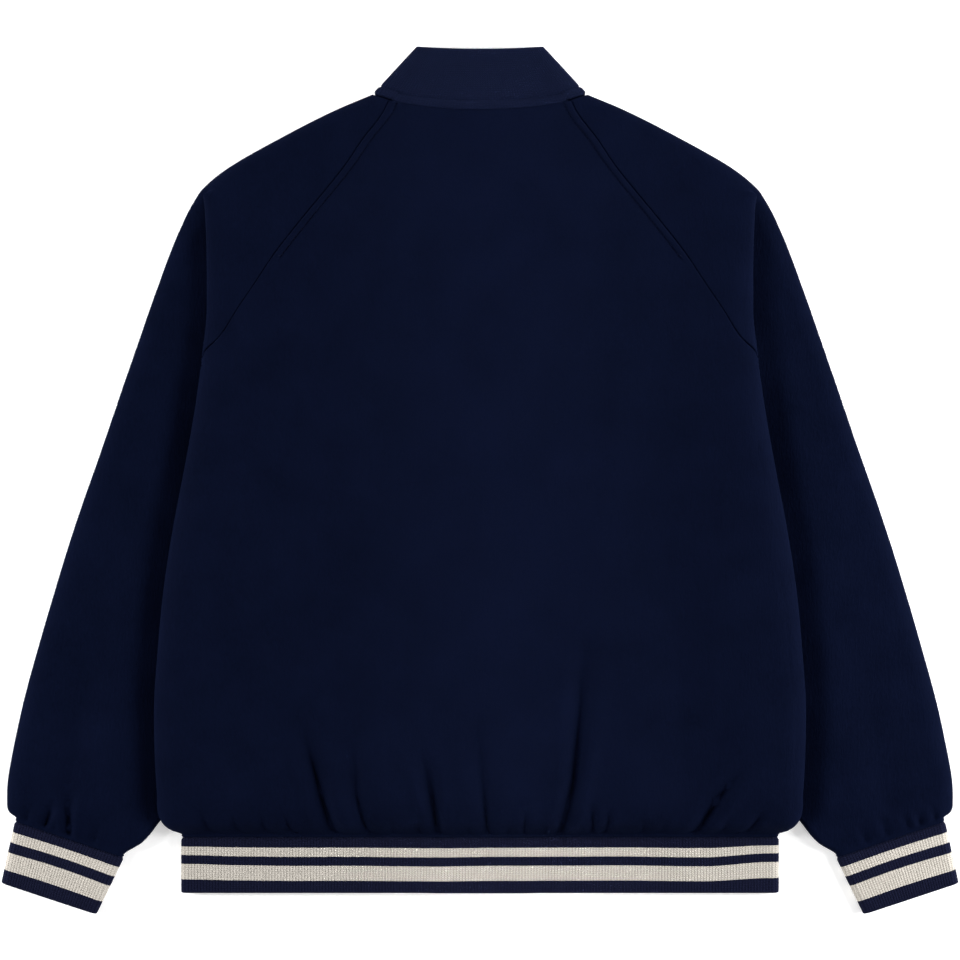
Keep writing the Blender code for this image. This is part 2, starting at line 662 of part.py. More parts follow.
def collar_edge(share, face):
    """The y of the collar's free edge: nearly straight behind, a deep curve in front."""
    if face == "back":
        return COLLAR_BACK_Y + (COLLAR_SIDE_Y - COLLAR_BACK_Y) * share ** 2.2
    return COLLAR_SIDE_Y - (COLLAR_SIDE_Y - COLLAR_FRONT_Y) * math.sqrt(max(1.0 - share ** 2, 0.0))


def snap(number):
    """A low round cap under the left front."""
    y = SNAP_TOP_Y - SNAP_STEP * (number - 1)
    bpy.ops.mesh.primitive_cylinder_add(vertices=12, radius=SNAP_RADIUS * MM, depth=SNAP_HEIGHT * MM,
                                        location=(0.0, y * MM, SNAP_HEIGHT * MM / 2))
    cap = bpy.context.object
    cap.name = "snap_" + str(number)
    cap.data.materials.append(material(cap.name + "_metal", STEEL, 0.3, 1.0))


for old in list(bpy.data.objects):
    bpy.data.objects.remove(old)
body_and_sleeves()
hem_band()
collar()
for place in range(SNAP_COUNT):
    snap(place + 1)
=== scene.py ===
"""Looks of a navy varsity jacket that lies flat on its front, back up, collar towards +Y.

Each cut piece is a thin shell on the form of its CAD solid, much finer, with its own folds, seam lips and
knitted ribs. Sizes are in millimetres until MM turns them into metres. The wearer's left is at -X.
"""
import math

import bmesh
import bpy
import numpy as np
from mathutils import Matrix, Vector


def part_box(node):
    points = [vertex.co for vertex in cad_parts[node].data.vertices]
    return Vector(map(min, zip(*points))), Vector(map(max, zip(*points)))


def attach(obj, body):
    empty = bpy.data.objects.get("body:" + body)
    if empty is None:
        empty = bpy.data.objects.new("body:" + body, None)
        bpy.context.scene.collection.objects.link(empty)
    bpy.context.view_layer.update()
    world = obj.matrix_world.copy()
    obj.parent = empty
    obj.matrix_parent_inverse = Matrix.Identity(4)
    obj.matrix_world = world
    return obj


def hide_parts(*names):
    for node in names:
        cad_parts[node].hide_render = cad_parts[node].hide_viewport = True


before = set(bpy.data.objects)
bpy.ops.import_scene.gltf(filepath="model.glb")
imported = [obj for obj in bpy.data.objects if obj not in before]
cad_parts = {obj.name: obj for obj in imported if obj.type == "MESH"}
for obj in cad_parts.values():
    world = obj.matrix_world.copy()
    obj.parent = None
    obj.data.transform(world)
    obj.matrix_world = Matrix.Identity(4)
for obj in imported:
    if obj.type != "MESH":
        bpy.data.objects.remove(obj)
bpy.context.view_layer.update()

MM = 0.001
WOOL = 2.4
RIB = 3.0
SEAM_GAP = 0.3
SIDE_GAP = 0.5
LAYER_STEP = 5.2
WOOL_REST = WOOL / 2
RIB_REST = RIB / 2
SHARE_STEP = 10.0

# Neck, underarm, hem and collar
NECK_BACK_Y = 324.6
NECK_SIDE = (93.0, 337.7)
NECK_RAGLAN_Y = 332.9
NECK_FRONT_Y = 258.8
FRONT_RAGLAN_TOP = (76.0, 292.0)
UNDERARM_Y = 38.0
UNDERARM_X = 150.0
HEM_SEAM_Y = -313.7
HEM_END_Y = -362.5
HEM_HALF = 261.0
HEM_TOP_Z = 7.9
HEM_BUMP = 2.1
CUFF_TOP_Z = 9.7
COLLAR_HALF = 54.0
COLLAR_BACK_Y = 378.5
COLLAR_SIDE_Y = 380.3
COLLAR_FRONT_Y = 314.0
COLLAR_END = 1.5

# Soft rolls at the edges
FOLD_ROLL = 22.0
OUTER_ROLL = 14.0
NECK_ROLL = 16.0
PLEAT_ROLL = 5.0
INNER_ROLL = 3.6
CUFF_ROLL = 5.0
OVERLAP = 15.0
LIFTS = {-1: 1.5, 1: 4.5}
LIFT_RUN = 24.0
# Length past the end of the upper side that still counts as upper
TOP_REACH = 12.0
# Height that the back's creases keep clear of, and the least room that they have
FRONTS_TOP = 8.4
LEAST_ROOM = 0.8
# How far a narrow crease draws the cloth together, as a share of its half width
PINCH = 0.28
# Distance that stands for "no seam near"
FAR = 99.0

# Half width of the outer edge: (y, x)
OUTER = ((337.7, 93), (324.6, 124), (298, 176), (272, 221), (258, 238.5), (246, 249), (219, 262.7),
         (167, 282.5), (114, 301), (61, 319.3), (UNDERARM_Y, 327))
# Edge of the body where it folds over the sleeve: (y, x)
FOLD = ((254, 241.5), (237, 239.5), (202, 237.7), (149, 237.3), (114, 240.8), (61, 247.8), (9, 257),
        (-44, 267), (-96, 275), (-149, 280), (-202, 283.3), (-272, 281.1), (-298, 278.1), (-307, 269.5),
        (-310.5, HEM_HALF), (HEM_SEAM_Y, HEM_HALF))
# Inner edge of the tucked layer: (y, x)
PLEAT = ((252, 240), (240, 226), (230, 217), (200, 203), (150, 183), (100, 166), (62, 154), (46, 150.5),
         (UNDERARM_Y, 150))
# Back raglan seam: (y, x)
RAGLAN = ((NECK_RAGLAN_Y, 79.8), (322.8, 84), (298, 102.4), (276, 117), (254, 134), (228, 155), (197, 179),
          (169, 197.5), (149, 211), (125, 226), (108, 241), (92, 220), (78, 194), (64, 166), (56, 156),
          (UNDERARM_Y, 155))
RAGLAN_TURN_Y = 108.0
TIP_START_Y = 57.0
TIP_END_Y = 46.0
# Heights of the cloth's middle surface:
# (y, centre of back, back beside the fold, sleeve, sleeve under the body)
HEIGHT = ((NECK_RAGLAN_Y, 15, 13, 13, 13), (300, 18, 17, 17, 17), (254, 21, 21, 21, 21),
          (246, 21.5, 23, 12, 11), (230, 22, 26, 13, 10), (200, 22.5, 28, 14, 10), (100, 23, 31, 14.5, 9.2),
          (UNDERARM_Y, 23, 32, 14.5, 5.8), (0, 23, 32, 14.5, 7), (-100, 24, 32, 14.5, 7.5),
          (-200, 26, 31, 15, 7.5), (-262, 28, 29, 15, 6.5), (-290, 27, 26, 15, 5), (-302, 21, 20, 12, 4.2),
          (-307, 13, 13, 9, 2), (-310.5, 8.1, 8.1, 8, 1.5), (HEM_SEAM_Y, 7.9, 7.9, 8, 1.5))
# Sleeve below the underarm: (outer x, outer y, inner x, inner y, height of its top layer)
SLEEVE = ((327, UNDERARM_Y, 151, UNDERARM_Y, 14.5), (335, 15, 159, 13, 14.5), (346.5, -17.5, 172, -25, 14.5),
          (360, -58, 188, -71, 14.5), (374, -104, 204, -120, 14.5), (387, -149, 220, -170, 15),
          (399, -193, 234, -214, 15.5), (408, -234, 250, -252, 16), (413, -262, 264, -276, 15.5),
          (414, -280.7, 282, -299, 14), (412.4, -291, 298, -318, 12), (406.3, -296.5, 313.2, -327.5, 10.2),
          (406.9, -299.9, 314.2, -330.9, 10.2))
# Cuff: (outer x, outer y, inner x, inner y)
CUFF = ((406.9, -299.9, 314.2, -330.9), (413, -327, 326.2, -355.8), (419, -354, 338.2, -380.7))

# Folds as (half width, depth, ridge beside it, points from top to bottom).
# Each deepens towards its last point.
GATHERS = (
    (7.5, 10.5, 2.6, ((-164, -196), (-158, -212), (-146, -250), (-137, -282), (-126, -313))),
    (3, 5.5, 0.4, ((-152, -232), (-146, -250), (-137, -282), (-126, -313))),
    (30, 3.6, 0.0, ((-182, -140), (-168, -230), (-150, -300))),
    (9, 5.0, 1.4, ((-107, -178), (-108, -240), (-107, -276), (-102, -296), (-95, -313))),
    (3, 6.0, 0.8, ((-107, -272), (-105, -284), (-102, -296), (-95, -313))),
    (6.5, 10.0, 2.8, ((-52, -230), (-46, -256), (-41, -282), (-36, -313))),
    (3, 5.5, 0.4, ((-45, -258), (-41, -282), (-36, -313))),
    (26, 3.4, 0.0, ((-50, -140), (-52, -220), (-50, -262), (-45, -300))),
    (9, 4.4, 1.0, ((-5, -170), (-2, -225), (2, -262), (6, -313))),
    (3, 4.6, 0.6, ((3, -268), (5, -288), (9, -313))),
    (7.5, 9.5, 2.8, ((92, -120), (88, -200), (82, -262), (76, -288), (69, -313))),
    (3, 5.0, 0.4, ((84, -246), (80, -272), (76, -288), (69, -313))),
    (3, 5.0, 0.7, ((96, -280), (98, -298), (99, -313))),
    (3, 5.0, 0.7, ((113, -282), (112, -298), (109, -313))),
    (7.5, 9.0, 2.6, ((237, -236), (224, -258), (207, -280), (195, -298), (186, -313))),
    (3, 4.6, 0.4, ((214, -270), (207, -280), (195, -298), (186, -313))),
    (24, 3.0, 0.0, ((214, -110), (212, -200), (196, -290))),
    (3.5, 3.4, 0.6, ((-193, -283), (-190, -298), (-187, -313))),
    (3, 4.6, 0.7, ((-172, -286), (-168, -300), (-164, -313))),
    (3, 3.2, 0.5, ((-54, -298), (-53, -306), (-51, -313))),
    (3, 4.0, 0.6, ((39, -284), (39, -298), (38, -313))),
    (3, 3.4, 0.5, ((58, -293), (58, -302), (57, -313))),
    (3, 3.0, 0.4, ((143, -294), (143, -304), (144, -313))),
    (3, 3.0, 0.4, ((161, -294), (161, -304), (162, -313))),
    (4.5, 4.6, 0.8, ((250, -281), (242, -296), (231, -313))),
    (3.5, 2.8, 0.4, ((216, -293), (215, -303), (213, -313))),
    (4.5, 3.8, 0.6, ((-246, -280), (-241, -296), (-235, -313))),
    (3.5, 3.2, 0.5, ((-216, -286), (-214, -300), (-211, -313))),
    (3, 2.8, 0.4, ((-10, -298), (-10, -306), (-9, -313))),
    (3, 2.8, 0.4, ((24, -300), (24, -307), (23, -313))),
    (3, 2.4, 0.4, ((-78, -297), (-77, -305), (-75, -313))),
)
# Soft long swells of the back, as above
SWELLS = (
    (46, 6.5, 0.0, ((-150, 190), (-140, -20), (-128, -230))),
    (42, 5.6, 0.0, ((150, 160), (160, -60), (176, -250))),
    (26, 0.9, 0.0, ((96, 60), (92, -80), (86, -230))),
    (24, 0.8, 0.0, ((-40, -40), (-34, -160), (-30, -262))),
    (20, 0.8, 0.0, ((-205, 60), (-214, -60), (-216, -230))),
)
# Creases of a sleeve's upper side at the cuff, left then right
CUFF_FOLDS = {
    -1: ((3.5, 5.0, 1.2, ((-376, -280), (-378, -293), (-383, -307))),
         (4, 7.5, 2.6, ((-357, -270), (-361, -288), (-360, -316))),
         (4, 2.2, 0.5, ((-334, -298), (-338, -310), (-340, -322))),
         (3.5, 2.2, 0.5, ((-395, -280), (-397, -292), (-399, -303))),
         (22, 2.0, 0.0, ((-330, -90), (-346, -190), (-362, -285)))),
    1: ((3.5, 3.8, 0.9, ((384, -288), (385, -298), (388, -308))),
        (3.5, 2.0, 0.5, ((370, -288), (374, -300), (377, -311))),
        (4, 2.0, 0.5, ((350, -290), (354, -303), (357, -317))),
        (3, 2.0, 0.4, ((396, -282), (398, -292), (400, -303))),
        (3.5, 2.2, 0.5, ((334, -300), (337, -312), (340, -324))),
        (24, 1.8, 0.0, ((322, -80), (340, -180), (356, -285)))),
}
# Folds of the fronts above the hem, which press up from the surface
FRONT_FOLDS = (
    (8, 1.5, 0.0, ((-205, -235), (-198, -280), (-190, -313))),
    (10, 1.8, 0.0, ((-130, -190), (-124, -260), (-116, -313))),
    (6, 1.2, 0.0, ((-72, -262), (-66, -290), (-60, -313))),
    (9, 1.7, 0.0, ((70, -220), (76, -270), (88, -313))),
    (7, 1.3, 0.0, ((132, -250), (138, -285), (146, -313))),
    (10, 1.7, 0.0, ((214, -200), (206, -262), (196, -313))),
)

# Distances from a seam at which a piece has columns or rows of its own
LIP_STEPS = (0.0, 0.5, 1.1, 1.9, 3.0, 4.4, 5.8, 6.5, 7.0, 7.5, 8.2, 9.6, 12.0)
STITCH_LINE = 7.0
STITCH_END_Y = 193.0
BACK_ROW_STEP = 2.6
BACK_COLUMNS = 140
SLEEVE_COLUMNS = 118
FRONT_COLUMNS = 56
# Rib knit: width of a wale, columns on each, height of a course, spacing of rows
WALE = 2.6
WALE_POINTS = 6
COURSE = 1.9
RIB_ROW_STEP = 2.6
# Hem and cuff stripes as distances from the seam: (start, cream or navy)
HEM_STRIPES = ((0.0, 0), (8.8, 1), (16.7, 0), (24.6, 1), (37.7, 0), (48.7, 0))
CUFF_STRIPES = ((0.0, 0), (9.2, 1), (18.2, 0), (27.2, 1), (42.4, 0), (54.8, 0))


def smooth(value):
    t = np.clip(value, 0.0, 1.0)
    return t * t * (3.0 - 2.0 * t)


def slopes_of(ys, values):
    steps = np.diff(values) / np.diff(ys)
    slopes = np.concatenate((steps[:1], (steps[1:] + steps[:-1]) / 2, steps[-1:]))
    slopes[1:-1][steps[1:] * steps[:-1] <= 0] = 0.0
    return slopes


def cubic(t, span, values, slopes):
    """A smooth curve between two values, with a slope at each."""
    return ((1 + 2 * t) * (1 - t) ** 2 * values[0] + t * (1 - t) ** 2 * span * slopes[0]
            + t * t * (3 - 2 * t) * values[1] + t * t * (t - 1) * span * slopes[1])


TABLES = {}


def read(table, y, column=1):
    """A smooth curve through one column of a table whose first column is y, falling."""
    key = (id(table), column)
    if key not in TABLES:
        ys = np.array([row[0] for row in table], float)
        values = np.array([row[column] for row in table], float)
        TABLES[key] = (ys.tolist(), values.tolist(), slopes_of(ys, values).tolist())
    ys, values, slopes = TABLES[key]
    i = 0
    while i < len(ys) - 2 and ys[i + 1] > y:
        i += 1
    span = ys[i + 1] - ys[i]
    t = min(max((y - ys[i]) / span, 0.0), 1.0)
    return cubic(t, span, values[i:i + 2], slopes[i:i + 2])


class Path:
    """A section from the middle of the back to the middle of the front, with a share of columns along it."""

    def __init__(self):
        self.x = np.zeros(0)
        self.z = np.zeros(0)
        self.extra = np.zeros(0)
        self.marks = {}

    def run(self, x0, x1, height, name, extra=0.0):
        """A nearly level stretch; height(x) gives its z."""
        x = np.linspace(x0, x1, 61)
        self.add(x, height(x) + 0.0 * x, name, extra)

    def turn(self, x, width, z0, z1, side, name, extra):
        """Half an ellipse from z0 to z1, which bulges to +x (side 1) or -x (side -1)."""
        angle = np.linspace(0, math.pi, 33)
        self.add(x + side * width * np.sin(angle), (z0 + z1) / 2 + (z0 - z1) / 2 * np.cos(angle), name, extra)

    def add(self, x, z, name, extra):
        skip = 1 if len(self.x) else 0
        self.marks[name] = max(len(self.x) - 1, 0)
        self.x = np.concatenate((self.x, x[skip:]))
        self.z = np.concatenate((self.z, z[skip:]))
        self.extra = np.concatenate((self.extra, np.full(len(x) - skip, extra / len(x))))
        self.marks[name + "_end"] = len(self.x) - 1

    def finish(self):
        steps = np.hypot(np.diff(self.x), np.diff(self.z))
        self.length = np.concatenate(([0.0], np.cumsum(steps)))
        self.share = np.concatenate(([0.0], np.cumsum(steps / SHARE_STEP + self.extra[1:])))
        return self

    def middle(self, name):
        return (self.marks[name] + self.marks[name + "_end"]) // 2

    def at_x(self, x, first, last):
        """The length at which the path crosses x between two of its points."""
        order = np.argsort(self.x[first:last + 1])
        return float(np.interp(x, self.x[first:last + 1][order], self.length[first:last + 1][order]))

    def even(self, start, end, count):
        """Lengths of columns spread evenly by share between two lengths."""
        shares = np.interp((start, end), self.length, self.share)
        return np.interp(np.linspace(shares[0], shares[1], count), self.share, self.length)

    def points(self, lengths):
        return np.interp(lengths, self.length, self.x), np.interp(lengths, self.length, self.z)


def back_height(x, y, fold_x):
    centre = read(HEIGHT, y, 1)
    side = read(HEIGHT, y, 2)
    return centre + (side - centre) * smooth(np.abs(x) / max(fold_x - FOLD_ROLL, 1.0)) ** 1.3


def front_height(x, lift, rest=WOOL_REST):
    return rest + lift * (1.0 - smooth((x - OVERLAP - 3.0) / LIFT_RUN))


def sleeve_height(x, y, fold_x):
    low = read(HEIGHT, y, 4)
    full = read(HEIGHT, y, 3)
    return low + (full - low) * smooth((x - fold_x + 5.0) / 32.0)


def neck_lift(y):
    return (NECK_SIDE[1] - NECK_RAGLAN_Y) * smooth((y - 300.0) / (NECK_RAGLAN_Y - 300.0))


def outer_edge(y):
    return read(OUTER, y + neck_lift(y))


def edge_slope(table, y):
    slope = (read(table, y - 4.0) - read(table, y + 4.0)) / 8.0
    return math.sqrt(1.0 + slope * slope)


def upper_path(y, lift):
    """Section above the underarm: back, fold, tucked layer, sleeve, outer roll and front in one path."""
    path = Path()
    outer = outer_edge(y)
    fold_x = read(FOLD, y)
    pleat_x = read(PLEAT, y)
    depth = fold_x - pleat_x
    full = min(depth / (FOLD_ROLL + PLEAT_ROLL), 1.0)
    tuck = read(HEIGHT, y, 4)
    if depth <= 0.5 or y > 250:
        roll = NECK_ROLL + (FOLD_ROLL - NECK_ROLL) * smooth((NECK_RAGLAN_Y - y) / 60.0)
        path.run(0, outer - roll, lambda x: back_height(x, y, outer), "top")
        path.turn(outer - roll, roll, path.z[-1], WOOL_REST, 1, "outer", 5.0)
        path.run(outer - roll, -OVERLAP, lambda x: front_height(x, lift), "bottom")
        return path.finish()
    fold_roll = FOLD_ROLL * full
    pleat_roll = PLEAT_ROLL * full
    roll = min(OUTER_ROLL, outer - fold_x - 1.0)
    path.run(0, fold_x - fold_roll, lambda x: back_height(x, y, fold_x), "top")
    path.turn(fold_x - fold_roll, fold_roll, path.z[-1], tuck + LAYER_STEP, 1, "fold", 3.0 * full)
    path.run(fold_x - fold_roll, pleat_x + pleat_roll, lambda x: tuck + LAYER_STEP, "under")
    path.turn(pleat_x + pleat_roll, pleat_roll, tuck + LAYER_STEP, sleeve_height(pleat_x, y, fold_x), -1,
              "pleat", 3.0 * full)
    path.run(pleat_x + pleat_roll, outer - roll, lambda x: sleeve_height(x, y, fold_x), "layer")
    path.turn(outer - roll, roll, path.z[-1], WOOL_REST, 1, "outer", 3.0)
    path.run(outer - roll, -OVERLAP, lambda x: front_height(x, lift), "bottom")
    return path.finish()


def sleeve_edge(y):
    ys = [row[3] for row in reversed(SLEEVE)]
    xs = [row[2] for row in reversed(SLEEVE)]
    return float(np.interp(y, ys, xs))


def lower_roll(y):
    return FOLD_ROLL - (FOLD_ROLL - 5.0) * smooth((-y - 285.0) / 25.5)


def lower_path(y, lift):
    """Section of the body below the underarm: back, fold, underside over the sleeve, front."""
    path = Path()
    fold_x = read(FOLD, y)
    inner = sleeve_edge(y)
    near = smooth((UNDERARM_Y - y) / 40.0)
    ramp_top = inner + 2.0 - 6.0 * near
    ramp_foot = inner - 12.0 - 23.0 * near
    hem = smooth((-y - 300.0) / 10.5)
    rest = WOOL_REST + (RIB_REST - WOOL_REST) * hem
    over = read(HEIGHT, y, 4) + LAYER_STEP * (1.0 - smooth((-y - 299.0) / 8.0)) - rest
    roll = lower_roll(y)

    def top(x):
        return back_height(x, y, fold_x) + hem * HEM_BUMP * (1.0 - smooth((x - 34.0) / 24.0))

    def bottom(x):
        level_part = front_height(x, lift + hem * 0.5 * (lift > 2.0), rest)
        return level_part + over * smooth((x - ramp_foot) / (ramp_top - ramp_foot))

    path.run(0, fold_x - roll, top, "top")
    path.turn(fold_x - roll, roll, path.z[-1], float(bottom(fold_x - roll)), 1, "fold", 3.0)
    path.run(fold_x - roll, -OVERLAP, bottom, "bottom")
    return path.finish()


def side_seam(y):
    below = smooth((UNDERARM_Y - y) / 40.0)
    return min(sleeve_edge(y) - 5.0 + 13.0 * below, read(FOLD, y) - lower_roll(y) - 6.0)


def level(y, front, x, raglan_x, outer_x, front_x):
    """The y of points on a section: level, but curved at the neck and lower at the front."""
    above = (y - UNDERARM_Y) / (NECK_RAGLAN_Y - UNDERARM_Y)
    sag = (NECK_RAGLAN_Y - NECK_BACK_Y) * smooth((y - 262.0) / (NECK_RAGLAN_Y - 262.0))
    lift = neck_lift(y)
    drop = (NECK_RAGLAN_Y - FRONT_RAGLAN_TOP[1]) * max(above, 0.0) ** 1.5
    fall = (FRONT_RAGLAN_TOP[1] - NECK_FRONT_Y) * max(above - 0.35, 0.0) ** 2 / 0.65 ** 2
    neckline = y - drop - fall * (1.0 - np.clip(np.abs(x / front_x), 0, 1) ** 2.2)
    shoulder = y - drop + (drop + lift) * smooth((x - front_x) / max(outer_x - front_x, 1.0))
    back = y - sag * (1.0 - np.clip(x / raglan_x, 0, 1) ** 2.2)
    sleeve = y + lift * np.clip((x - raglan_x) / max(outer_x - raglan_x, 1.0), 0, 1)
    return np.where(front, np.where(x < front_x, neckline, shoulder), np.where(x < raglan_x, back, sleeve))


def front_raglan(y):
    above = (y - UNDERARM_Y) / (NECK_RAGLAN_Y - UNDERARM_Y)
    return UNDERARM_X - 2.0 - (UNDERARM_X - 2.0 - FRONT_RAGLAN_TOP[0]) * above ** 0.9


def raglan_length(path, y, x):
    """Length to the back raglan seam: on the upper side above its turn, on the underside below it."""
    if "fold" not in path.marks:
        return path.at_x(x, 0, path.marks["top_end"])
    if y > RAGLAN_TURN_Y:
        return path.at_x(x, 0, path.middle("fold"))
    if y > TIP_START_Y:
        return path.at_x(x, path.middle("fold"), path.marks["under_end"])
    start = path.length[path.marks["pleat"]]
    tip = path.length[path.middle("pleat")]
    return start + (tip - start) * min((TIP_START_Y - y) / (TIP_START_Y - TIP_END_Y), 1.0)


def lipped(path, start, end, count, at_start, at_end):
    """Lengths of a row's columns, closer together at the ends that lie on a seam."""
    head = [start + d for d in LIP_STEPS] if at_start else [start]
    tail = [end - d for d in reversed(LIP_STEPS)] if at_end else [end]
    middle = path.even(head[-1], tail[0], count)
    return np.concatenate((head[:-1], middle, tail[1:]))


def section_ys(top, bottom, step, close_top=True, close_bottom=True):
    """Heights of rows from top to bottom, closer together at the seams."""
    head = [top - d for d in LIP_STEPS[:6]] if close_top else [top]
    tail = [bottom + d for d in reversed(LIP_STEPS[:6])] if close_bottom else [bottom]
    count = int((head[-1] - tail[0]) / step) + 1
    return head[:-1] + list(np.linspace(head[-1], tail[0], count)) + tail[1:]


def fold_depth(folds, x, y, fade=14.0, end_at=None, pinch=0.0):
    """How far the listed folds press the cloth in at points x, y: a trough with a low ridge on each side.
    With pinch, how far the narrow ones draw the cloth together instead."""
    total = np.zeros_like(x)
    for half, deep, ridge, points in folds:
        ys = np.array([p[1] for p in points], float)[::-1]
        xs = np.array([p[0] for p in points], float)[::-1]
        middle = np.interp(y, ys, xs)
        t = (ys[-1] - y) / (ys[-1] - ys[0])
        falling = 1.0 - smooth((t - 1.0) * (ys[-1] - ys[0]) / fade)
        grow = smooth(1.45 * t) * np.where(t < 1.0, 1.0, falling)
        slant = 0.12 * math.sin(half * 3.1 + points[0][0])
        spread = half * (1.25 - 0.62 * np.clip(t, 0, 1))
        u = (x - middle) / spread + slant
        if pinch:
            drawn = np.exp(-((np.abs(u) - 1.1) / 0.75) ** 2) * np.tanh(3.0 * u) * (half < 12)
            total += grow * pinch * spread * drawn
        else:
            trough = np.exp(-np.abs(u) ** 1.5)
            total += grow * (deep * trough - ridge * np.exp(-(np.abs(u) - 2.0) ** 2))
    if end_at is not None:
        total *= smooth((y - end_at) / 6.0)
    return total


def ripple(x, y, size, seed):
    """Uneven low swells from a few crossed waves, from about -1 to 1."""
    rng = np.random.default_rng(seed)
    total = np.zeros_like(x)
    for number in range(7):
        angle = rng.uniform(0, math.pi)
        wave = size * rng.uniform(0.7, 1.6)
        shift = rng.uniform(0, 2 * math.pi, 3)
        along = x * math.cos(angle) + y * math.sin(angle)
        across = y * math.cos(angle) - x * math.sin(angle)
        bend = 0.18 * wave * np.sin(across / wave * 2.1 + shift[1])
        height = 0.65 + 0.35 * np.sin(across / wave + shift[2])
        total += height * np.sin((along + bend) * 2 * math.pi / wave + shift[0])
    return total / 3.2


def lip(distance, width=1.7, depth=1.15):
    """How far the cloth's outer side rounds down at a seam."""
    t = np.clip(1.0 - distance / width, 0.0, 1.0)
    return -depth * (1.0 - np.sqrt(np.clip(1.0 - t * t, 0.0, 1.0)))


def normals_of(grid, sign, closed_from=None):
    """Outward directions of a grid of points from its rows and columns."""
    across = np.gradient(grid, axis=1)
    along = np.gradient(grid, axis=0)
    if closed_from is not None:
        ring = grid[closed_from:]
        across[closed_from:] = (np.roll(ring, -1, axis=1) - np.roll(ring, 1, axis=1)) / 2
        if 0 < closed_from < len(grid):
            along[closed_from] = grid[closed_from + 1] - grid[closed_from]
            along[closed_from - 1] = grid[closed_from - 1] - grid[closed_from - 2]
    normal = np.cross(across, along) * sign
    size = np.linalg.norm(normal, axis=2, keepdims=True)
    return normal / np.maximum(size, 1e-9)


def kept(count, step):
    return sorted(set(range(0, count, step)) | {count - 1})


def new_piece(name, points, faces, slots=None, weld=False, crease=None):
    """A smooth mesh object with its faces turned outwards, sharp at angles above crease degrees."""
    mesh = bpy.data.meshes.new(name)
    mesh.from_pydata(points, [], faces)
    if slots:
        mesh.polygons.foreach_set("material_index", slots)
    shape = bmesh.new()
    shape.from_mesh(mesh)
    if weld:
        bmesh.ops.remove_doubles(shape, verts=shape.verts, dist=1e-6)
    bmesh.ops.recalc_face_normals(shape, faces=shape.faces)
    shape.to_mesh(mesh)
    shape.free()
    mesh.shade_smooth()
    if crease:
        mesh.set_sharp_from_angle(angle=math.radians(crease))
    piece = bpy.data.objects.new(name, mesh)
    bpy.context.scene.collection.objects.link(piece)
    return piece


def shell(name, grid, thickness, sign, detail, closed_from=None, stride=(4, 4), face_slots=None, knit=None):
    """A thin cloth wall: a fine outer side, a coarser inner side and rims between them."""
    rows, columns = grid.shape[:2]
    closed_from = rows + 9 if closed_from is None else closed_from
    normal = normals_of(grid, sign, closed_from if closed_from < rows else None)
    if closed_from < rows and closed_from > 0:
        normal[closed_from, 0] = normal[closed_from, -1] = (0.0, 1.0, 0.0)
    outer = grid + normal * (thickness / 2 + detail[..., None])
    inner = grid - normal * thickness / 2
    keep_r = sorted(set(kept(rows, stride[0])) | {r for r in (closed_from - 1, closed_from) if 0 <= r < rows})
    keep_c = kept(columns, stride[1])
    number = np.arange(rows * columns).reshape(rows, columns)
    small = {}
    points = [outer.reshape(-1, 3)]
    total = rows * columns
    for r in keep_r:
        for c in keep_c:
            small[r, c] = total + len(small)
    points.append(np.array([inner[r, c] for r in keep_r for c in keep_c]))
    faces = []
    slots = []
    for r in range(rows - 1):
        wrap = [*range(columns), 0] if r >= closed_from else list(range(columns))
        for a, b in zip(wrap, wrap[1:]):
            faces.append([int(number[r, a]), int(number[r, b]), int(number[r + 1, b]), int(number[r + 1, a])])
            slots.append(face_slots[r] if face_slots else 0)
    for upper, lower in zip(keep_r, keep_r[1:]):
        wrap = keep_c + [0] if upper >= closed_from else keep_c
        for a, b in zip(wrap, wrap[1:]):
            faces.append([small[upper, a], small[lower, a], small[lower, b], small[upper, b]])
            slots.append(face_slots[min(upper, rows - 2)] if face_slots else 0)

    def rim(places, ends):
        for first, last in zip(ends, ends[1:]):
            chain = places[places.index(first):places.index(last) + 1]
            faces.append([int(number[p]) for p in chain] + [small[last], small[first]])
            slots.append(face_slots[min(chain[0][0], rows - 2)] if face_slots else 0)

    for r in (0, rows - 1):
        rim([(r, c) for c in range(columns)], [(r, c) for c in keep_c])
        if r >= closed_from:
            rim([(r, columns - 1), (r, 0)], [(r, columns - 1), (r, 0)])
    last = min(rows - 1, closed_from)
    for c in (0, columns - 1):
        rim([(r, c) for r in range(last + 1)], [(r, c) for r in keep_r if r <= last])
    if 0 < closed_from < rows:
        rim([(closed_from, columns - 1), (closed_from, 0)], [(closed_from, columns - 1), (closed_from, 0)])
    piece = new_piece(name, (np.concatenate(points) * MM).tolist(), faces, slots, crease=82)
    if knit is not None:
        values = np.zeros((total + len(small), 3))
        values[:total] = knit.reshape(-1, 3)
        values[total:] = np.array([knit[r, c] for r in keep_r for c in keep_c])
        layer = piece.data.attributes.new("knit", "FLOAT_VECTOR", "POINT")
        layer.data.foreach_set("vector", values.ravel())
    return piece


def add_rows(rows, side, path, turned, widths, level_of):
    """Adds a row to each piece: x, y, z, 1 on the upper side, 1 on the underside."""
    top_end = path.length[path.marks["top_end"]] + TOP_REACH
    for name, lengths in widths.items():
        x, z = path.points(lengths)
        below = lengths > turned
        top = lengths <= top_end
        rows[name].append(np.stack((side * x, level_of(below, x), z, top * 1.0, below * 1.0), axis=1))


